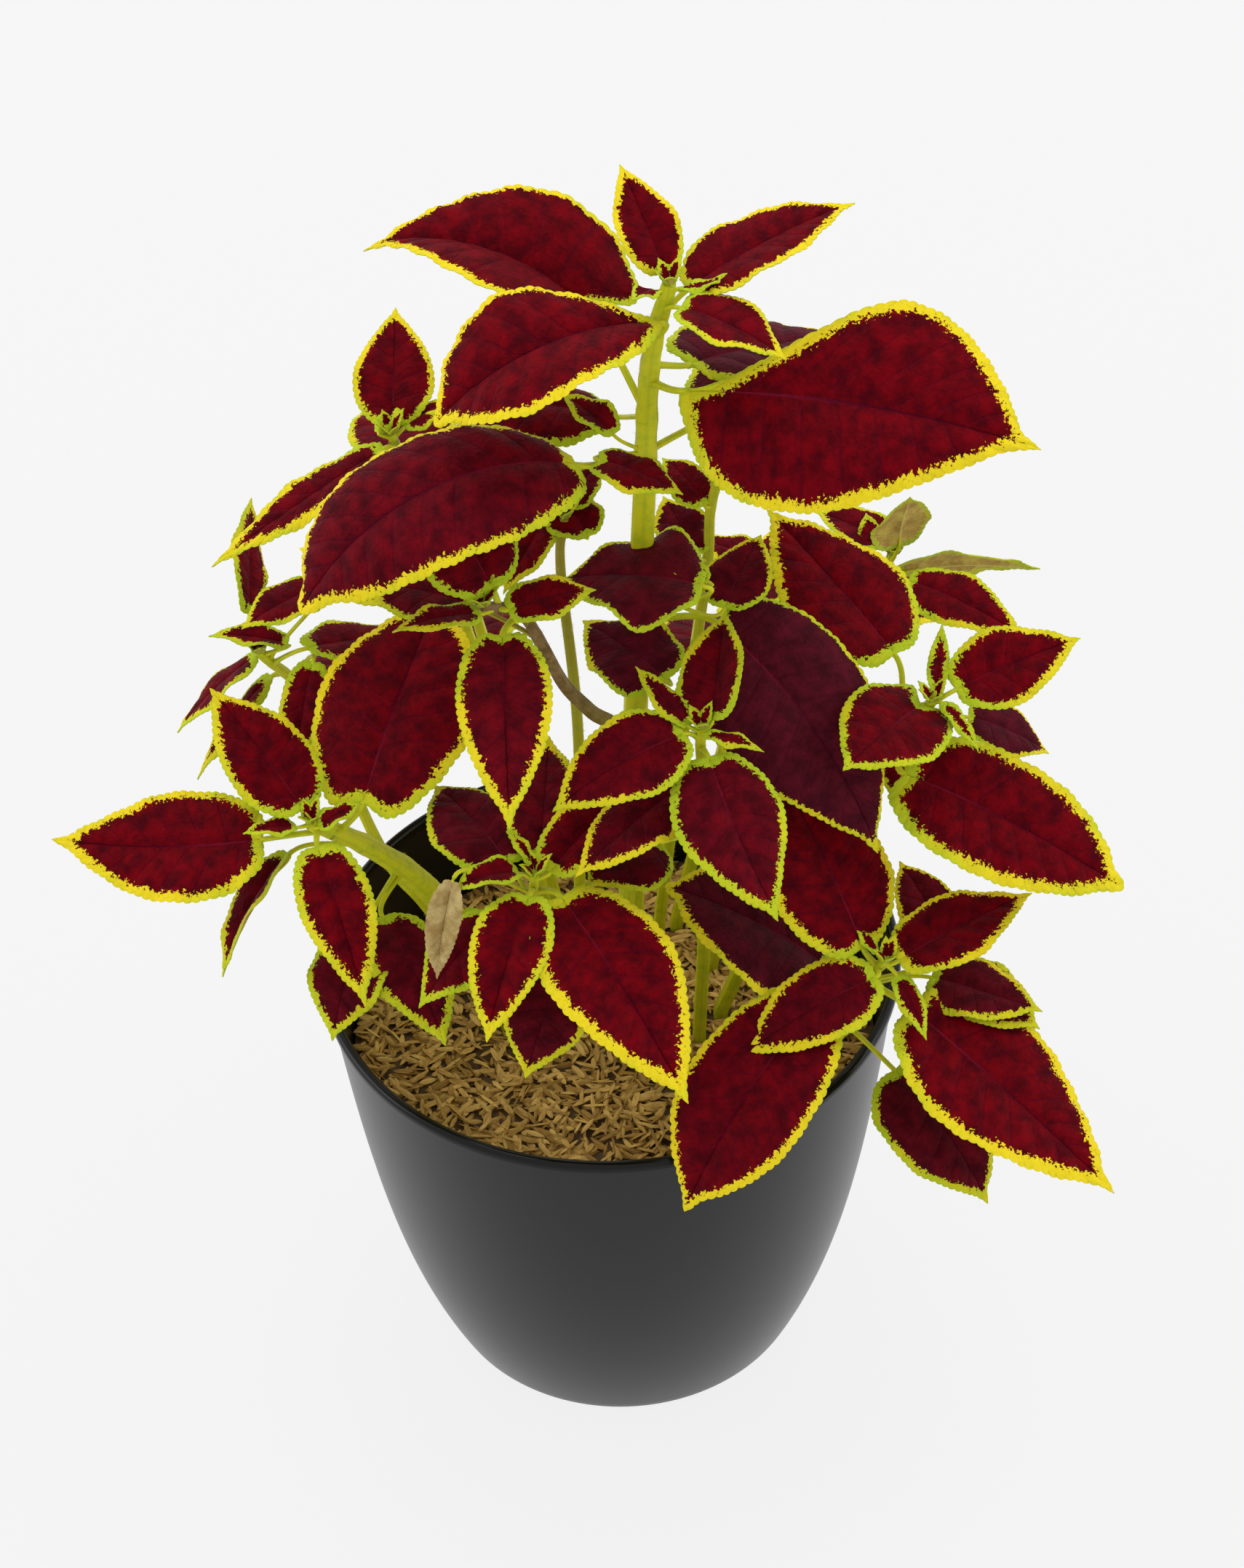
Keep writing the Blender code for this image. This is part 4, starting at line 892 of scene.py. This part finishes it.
def blade_material(form):
    """A variegated blade. The distance to the margin, shaken by streaks along the lateral veins and by
    a fine grain, tells the coloured middle from the pale margin. Mottling, a rosy midrib, faint lateral
    veins and a dull olive underside lie over it, a withered blade is straw all over, and the surface has
    a pebbled, velvety grain. The tone turns the maroon towards a darker, duller colour, partly the
    blade's own colour and partly painted shade on the lower leaves. The underside is made brighter
    than its own olive as painted light shining through the thin blade."""
    net = Net(
        "coleus_blade_velvet",
        Roughness=form.roughness,
        Sheen_Weight=form.sheen,
        Sheen_Roughness=0.45,
        Sheen_Tint=(1.0, 0.7, 0.75, 1.0),
        Specular_IOR_Level=0.02,
    )
    x, y, root = net.attribute("place")
    count, out, inward = net.attribute("vein")
    lime, tone, ahead = net.attribute("look")
    under = net.step(ahead, 1.4, 1.6)
    ahead = net.line(under, -2.0, ahead)
    flat = net.vector(x, y, 0.0)

    streak = net.noise(net.vector(net.times(root, 0.6), net.times(x, 0.2), 0.0), 1.0)
    fine = net.noise(flat, 0.85, 2.0, 0.7)
    broad = net.noise(flat, 0.075)
    basal = net.times(net.step(ahead, 0.14, 0.0), net.step(out, 0.75, 0.1), net.line(lime, -1.4, -0.25))
    edge = net.line(streak, 1.3, net.line(fine, 2.6, -1.95))
    edge = net.plus(edge, net.line(broad, 0.9, -0.45), basal, inward)
    inner = net.step(edge, 0.92, 1.1)

    mottle = net.line(streak, 0.3, net.line(net.noise(flat, 0.16, 4.0, 0.62), 1.9, -0.62))
    patches = net.step(mottle, 0.1, 0.9)
    maroon = net.mix(net.step(mottle, 0.0, 1.0), form.dark_colour, form.bright_colour)
    # The dull colour that tone mixes in is partly the blade's own darker maroon and partly painted shade
    # on lower leaves.
    dull = net.mix(patches, (0.045, 0.0035, 0.008), (0.1, 0.006, 0.015))
    maroon = net.mix(net.step(tone, 0.25, 1.0), maroon, dull)
    specks = net.step(net.noise(flat, 1.3), 0.5, 0.75, 0.35)
    maroon = net.mix(specks, maroon, (0.02, 0.002, 0.006))
    line = net.step(out, 0.028, 0.004)
    lateral = net.step(net.maths("PINGPONG", count, 0.5), 0.075, 0.015)
    maroon = net.mix(net.times(lateral, 0.25), maroon, (0.045, 0.001, 0.01))
    midline = net.mix(net.step(ahead, 0.1, 0.55), form.vein_colour, (0.05, 0.0015, 0.012))
    maroon = net.mix(net.times(line, 0.6), maroon, midline)

    limy = net.plus(net.step(ahead, 0.5, 0.0, 0.5), net.step(inward, 0.35, 0.0, 0.25))
    limy = net.step(net.plus(lime, limy, net.line(broad, 1.2, -0.68)), 0.0, 1.0)
    pale = net.mix(limy, form.yellow_colour, form.lime_colour)
    pale = net.mix(net.step(fine, 0.45, 0.8, 0.3), pale, (0.33, 0.27, 0.012))
    above = net.mix(inner, pale, maroon)

    # The underside's olive colours are partly its own colour and partly painted light: brighter, as if
    # lit through the thin blade.
    backing = net.mix(patches, (0.36, 0.21, 0.06), (0.6, 0.47, 0.11))
    backing = net.mix(net.times(lateral, 0.4), backing, (0.5, 0.46, 0.12))
    backing = net.mix(line, backing, (0.62, 0.62, 0.16))
    below = net.mix(inner, net.mix(0.3, pale, (0.35, 0.4, 0.1)), backing)
    withered = net.mix(patches, (0.3, 0.19, 0.06), (0.56, 0.44, 0.19))
    colour = net.mix(net.step(lime, -0.4, -0.6), net.mix(under, above, below), withered)

    feeds = {"Vector": flat, "Scale": 0.8}
    pebbles = net.node("ShaderNodeTexVoronoi", feeds, feature="SMOOTH_F1").outputs[0]
    height = net.line(pebbles, -0.8, net.line(fine, 0.9, net.times(lateral, -0.5)))
    return net.finish(colour, height, 0.45, 0.0006)


def stalk_material(form):
    """Pale green stems and petioles with purple-brown marks at the nodes and fine lines along them."""
    net = Net("coleus_stalk_green", Roughness=0.5, Specular_IOR_Level=0.18)
    place = net.place()
    ridge, node, brown = net.attribute("stalk")
    blotch = net.noise(place, 260.0, 3.0, 0.6)
    green = net.mix(net.step(blotch, 0.4, 0.7), form.stalk_colour, (0.46, 0.52, 0.012))
    green = net.mix(net.step(ridge, 0.9, 0.84, 0.25), green, (0.28, 0.36, 0.012))
    green = net.mix(net.step(net.line(blotch, 0.9, node), 1.4, 1.7, 0.6), green, (0.045, 0.012, 0.014))
    wood = net.mix(net.step(blotch, 0.35, 0.7), (0.1, 0.035, 0.03), (0.24, 0.13, 0.07))
    return net.finish(net.mix(brown, green, wood), net.noise(place, 1500.0), 0.12, 0.0003)


def floor_material():
    """A pale table top, lit a little from within, so that shadows on it stay light."""
    colours = {"Base_Color": (0.03, 0.03, 0.03, 1), "Emission_Color": (1, 1, 1, 1)}
    return Net("studio_floor_pale", Roughness=0.7, Emission_Strength=0.84, **colours).material


def hair_material():
    """Short pale hairs."""
    return Net("coleus_hair_pale", Roughness=0.5, Base_Color=(0.66, 0.67, 0.24, 1.0)).material


# Settings and operators


def colour_setting(name, description, default):
    """A colour."""
    return FloatVectorProperty(
        name=name, description=description, default=default, subtype="COLOR", min=0, max=1
    )


def length_setting(name, description, default):
    """A length in metres."""
    return FloatProperty(name=name, description=description, default=default, unit="LENGTH", min=0)


def share_setting(name, description, default):
    """A value from 0 to 1."""
    return FloatProperty(name=name, description=description, default=default, min=0, max=1)


class PotSettings(bpy.types.PropertyGroup):
    """The pot's finish."""

    sides: IntProperty(name="Sides", description="Faces round the pot", default=144, min=32, max=512)
    body_colour: colour_setting("Body", "Colour of the moulded wall", (0.005, 0.0052, 0.0055))
    # The lip colour is darker than the body as a painted dark reflection of the glossy lip.
    lip_colour: colour_setting("Lip", "Colour of the glossy rolled lip", (0.0015, 0.0015, 0.0016))


class MulchSettings(bpy.types.PropertyGroup):
    """The loose rice hulls."""

    hull_count: IntProperty(name="Hulls", description="Loose rice hulls", default=4400, min=0, max=6000)
    hull_length: length_setting("Hull length", "Length of a rice hull", 0.0086)
    hull_width: length_setting("Hull width", "Width of a rice hull", 0.0021)
    pale_colour: colour_setting("Pale hull", "Colour of the palest hulls", (0.8, 0.52, 0.14))
    dark_colour: colour_setting("Dark hull", "Colour of the darkest hulls", (0.33, 0.17, 0.025))


class BladeSettings(bpy.types.PropertyGroup):
    """The blades' fine form and colours."""

    thickness: length_setting("Thickness", "Thickness of a blade", 0.0005)
    tooth_pitch: length_setting("Tooth pitch", "Length of a scallop on large blades", 0.0029)
    tooth_depth: length_setting("Tooth depth", "Depth of a scallop on large blades", 0.00062)
    ruffle_length: length_setting("Ruffle length", "Length of a ruffle along the margin", 0.0115)
    ruffle_height: length_setting("Ruffle height", "Height of the margin's ruffle", 0.0004)
    quilt_height: length_setting("Quilting", "Height of the puffs between lateral veins", 0.0004)
    roughness: share_setting("Roughness", "Roughness of a blade", 0.5)
    sheen: share_setting("Sheen", "Velvet sheen of a blade", 0.02)
    dark_colour: colour_setting("Maroon", "Darker colour of a blade's middle", (0.052, 0.0006, 0.0035))
    bright_colour: colour_setting("Crimson", "Brighter mottling of the middle", (0.18, 0.0008, 0.0045))
    vein_colour: colour_setting("Veins", "Colour of the midrib", (0.24, 0.012, 0.04))
    yellow_colour: colour_setting("Yellow margin", "Colour of a yellow margin", (0.78, 0.62, 0.018))
    lime_colour: colour_setting("Lime margin", "Colour of a lime margin", (0.42, 0.54, 0.02))


class StalkSettings(bpy.types.PropertyGroup):
    """Stems and petioles."""

    hair_length: length_setting("Hair length", "Length of the longest hairs", 0.0013)
    hair_density: FloatProperty(
        name="Hairs", description="Hairs per millimetre of stalk", default=1.6, min=0
    )
    stalk_colour: colour_setting("Stalk", "Colour of stems and petioles", (0.6, 0.59, 0.014))


class COLEUS_OT_pot(bpy.types.Operator):
    """Build the turned pot with its rolled lip and drain holes"""

    bl_idname = "coleus.pot"
    bl_label = "Pot"

    def execute(self, context):
        form = context.scene.coleus_pot
        pot = mesh_object("pot_body", turned(pot_profile(), form.sides), pot_material(form), 40.0)
        drill = {"segments": DRAIN_SIDES, "radius1": DRAIN_RADIUS * MM, "radius2": DRAIN_RADIUS * MM}
        cutters = bmesh.new()
        for k in range(DRAIN_COUNT):
            centre = DRAIN_RING_RADIUS * MM * heading(360 * (k + 0.5) / DRAIN_COUNT, 0)
            place = Matrix.Translation(centre)
            bmesh.ops.create_cone(cutters, cap_ends=True, depth=0.02, matrix=place, **drill)
        cutter_mesh = bpy.data.meshes.new("drain_cutter")
        cutters.to_mesh(cutter_mesh)
        cutters.free()
        cutter = linked("drain_cutter", cutter_mesh)
        cut = pot.modifiers.new("drain_holes", "BOOLEAN")
        cut.operation, cut.solver, cut.object = "DIFFERENCE", "EXACT", cutter
        shape = bpy.data.meshes.new_from_object(pot.evaluated_get(context.evaluated_depsgraph_get()))
        pot.modifiers.clear()
        pot.data = shape
        shape.name = "pot_body"
        bpy.data.objects.remove(cutter)
        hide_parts("pot")
        return {"FINISHED"}


class COLEUS_OT_mix(bpy.types.Operator):
    """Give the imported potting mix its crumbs"""

    bl_idname = "coleus.mix"
    bl_label = "Potting mix"

    def execute(self, context):
        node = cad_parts["potting_mix"]
        node.data.materials.clear()
        node.data.materials.append(mix_material())
        return {"FINISHED"}


class COLEUS_OT_mulch(bpy.types.Operator):
    """Build the bed and the loose rice hulls on it"""

    bl_idname = "coleus.mulch"
    bl_label = "Rice hulls"

    def execute(self, context):
        form = context.scene.coleus_mulch
        luck = np.random.default_rng(41)
        surface = joined([mulch_bed(luck), hull_cloud(form, luck)])
        hulls = mesh_object("rice_hulls", surface, hull_material(form), 70.0)
        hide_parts("rice_hull_mulch")
        return {"FINISHED"}


class COLEUS_OT_stems(bpy.types.Operator):
    """Build each leafy stem as its blades, its stalks and its hairs"""

    bl_idname = "coleus.stems"
    bl_label = "Leafy stems"

    def execute(self, context):
        form, stalk = context.scene.coleus_blade, context.scene.coleus_stalk
        velvet, green, pale = blade_material(form), stalk_material(stalk), hair_material()
        for number, (short, (stem, *leaves)) in enumerate(STEMS.items()):
            name = f"{short}_leafy_stem"
            path = smooth_path(stem.path, PATH_STEPS)
            luck = np.random.default_rng(100 + number)
            grown = [(leaf, petiole_ends(path, leaf)[1], k) for k, leaf in enumerate(leaves)]
            for k in range(BUD_LEAVES):
                turn = 90.0 * k + 60.0 * luck.random()
                bud = Leaf(path[-1, 2], (1.0, turn, 50), turn, 52, 8.5 - k, 4.2, 0.8, 0.2, 0.8, wave=0.2)
                grown.append((bud, path[-1] + heading(turn, 20) * 0.8, 30 + k))
            blades = joined([blade(leaf, base, form, 40 * number + k) for leaf, base, k in grown])
            petioles = [petiole_surface(leaf, path, stem.brown) for leaf in leaves]
            stalks = joined([stem_surface(stem, leaves), *petioles])
            span = sum(leaf.petiole[0] for leaf in leaves) + stem.path[-1][2] - MULCH_TOP
            hairs = hairs_on(stalks, int(stalk.hair_density * span), stalk.hair_length / MM, luck)
            pieces = (
                (f"{short}_blades", blades, velvet),
                (f"{short}_stalks", stalks, green),
                (f"{short}_hairs", hairs, pale),
            )
            for label, surface, material in pieces:
                made = mesh_object(label, surface, material, 45.0)
                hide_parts(name)
        return {"FINISHED"}


class COLEUS_OT_stage(bpy.types.Operator):
    """Set the pale floor, the soft studio light and the camera"""

    bl_idname = "coleus.stage"
    bl_label = "Studio"

    def execute(self, context):
        scene = context.scene
        floor_mesh = bpy.data.meshes.new("studio_floor")
        floor_mesh.from_pydata([(-6, -6, 0), (6, -6, 0), (6, 6, 0), (-6, 6, 0)], [], [(0, 1, 2, 3)])
        floor_mesh.materials.append(floor_material())
        staged = [linked("studio_floor", floor_mesh)]
        for name, (place, aim, size, power) in LAMPS.items():
            lamp = bpy.data.lights.new(name, "AREA")
            lamp.shape, lamp.size, lamp.energy = "SQUARE", size, power
            back = unit(np.subtract(place, aim))
            made = linked(name, lamp)
            made.matrix_world = view_matrix(place, back, unit(np.cross([0, 1, 0.001], back)))
            staged.append(made)
        world = bpy.data.worlds.new("studio_world")
        world.use_nodes = True
        sky = world.node_tree.nodes["Background"].inputs
        sky["Color"].default_value, sky["Strength"].default_value = (1, 1, 1, 1), 0.9
        scene.world = world
        scene.view_settings.view_transform = "Standard"
        lens = bpy.data.cameras.new("photo_camera")
        lens.lens, lens.sensor_width, lens.sensor_fit = CAMERA_LENS, 36.0, "AUTO"
        lens.clip_start, lens.clip_end = 0.01, 30.0
        camera = linked("photo_camera", lens)
        level, back = heading(0, 0), -heading(90, -CAMERA_PITCH)
        camera.matrix_world = view_matrix(CAMERA_PLACE, back, level, math.radians(CAMERA_ROLL))
        scene.camera = camera
        return {"FINISHED"}


class VIEW3D_PT_coleus(bpy.types.Panel):
    """Settings and steps of the potted coleus"""

    bl_label = "Potted Coleus"
    bl_space_type = "VIEW_3D"
    bl_region_type = "UI"
    bl_category = "Coleus"

    def draw(self, context):
        for group, settings, operators in STEPS:
            box = self.layout.box()
            box.label(text=group)
            if settings:
                for key in settings.__annotations__:
                    box.prop(getattr(context.scene, SETTINGS[settings]), key)
            for operator in operators:
                box.operator(operator.bl_idname)


SETTINGS = {
    PotSettings: "coleus_pot",
    MulchSettings: "coleus_mulch",
    BladeSettings: "coleus_blade",
    StalkSettings: "coleus_stalk",
}
STEPS = (
    ("Pot", PotSettings, (COLEUS_OT_pot,)),
    ("Filling", MulchSettings, (COLEUS_OT_mix, COLEUS_OT_mulch)),
    ("Blades", BladeSettings, ()),
    ("Stems", StalkSettings, (COLEUS_OT_stems,)),
    ("Studio", None, (COLEUS_OT_stage,)),
)
OPERATORS = [operator for _, _, operators in STEPS for operator in operators]


def register():
    """Register the settings, the operators and the panel."""
    for settings, name in SETTINGS.items():
        bpy.utils.register_class(settings)
        setattr(bpy.types.Scene, name, PointerProperty(type=settings))
    for item in (*OPERATORS, VIEW3D_PT_coleus):
        bpy.utils.register_class(item)


def unregister():
    """Undo register."""
    for item in (VIEW3D_PT_coleus, *reversed(OPERATORS)):
        bpy.utils.unregister_class(item)
    for settings, name in SETTINGS.items():
        delattr(bpy.types.Scene, name)
        bpy.utils.unregister_class(settings)


def main():
    """Run every operator in turn."""
    register()
    for operator in OPERATORS:
        group, step = operator.bl_idname.split(".")
        getattr(getattr(bpy.ops, group), step)()
    bpy.context.view_layer.update()


if __name__ == "__main__":
    main()
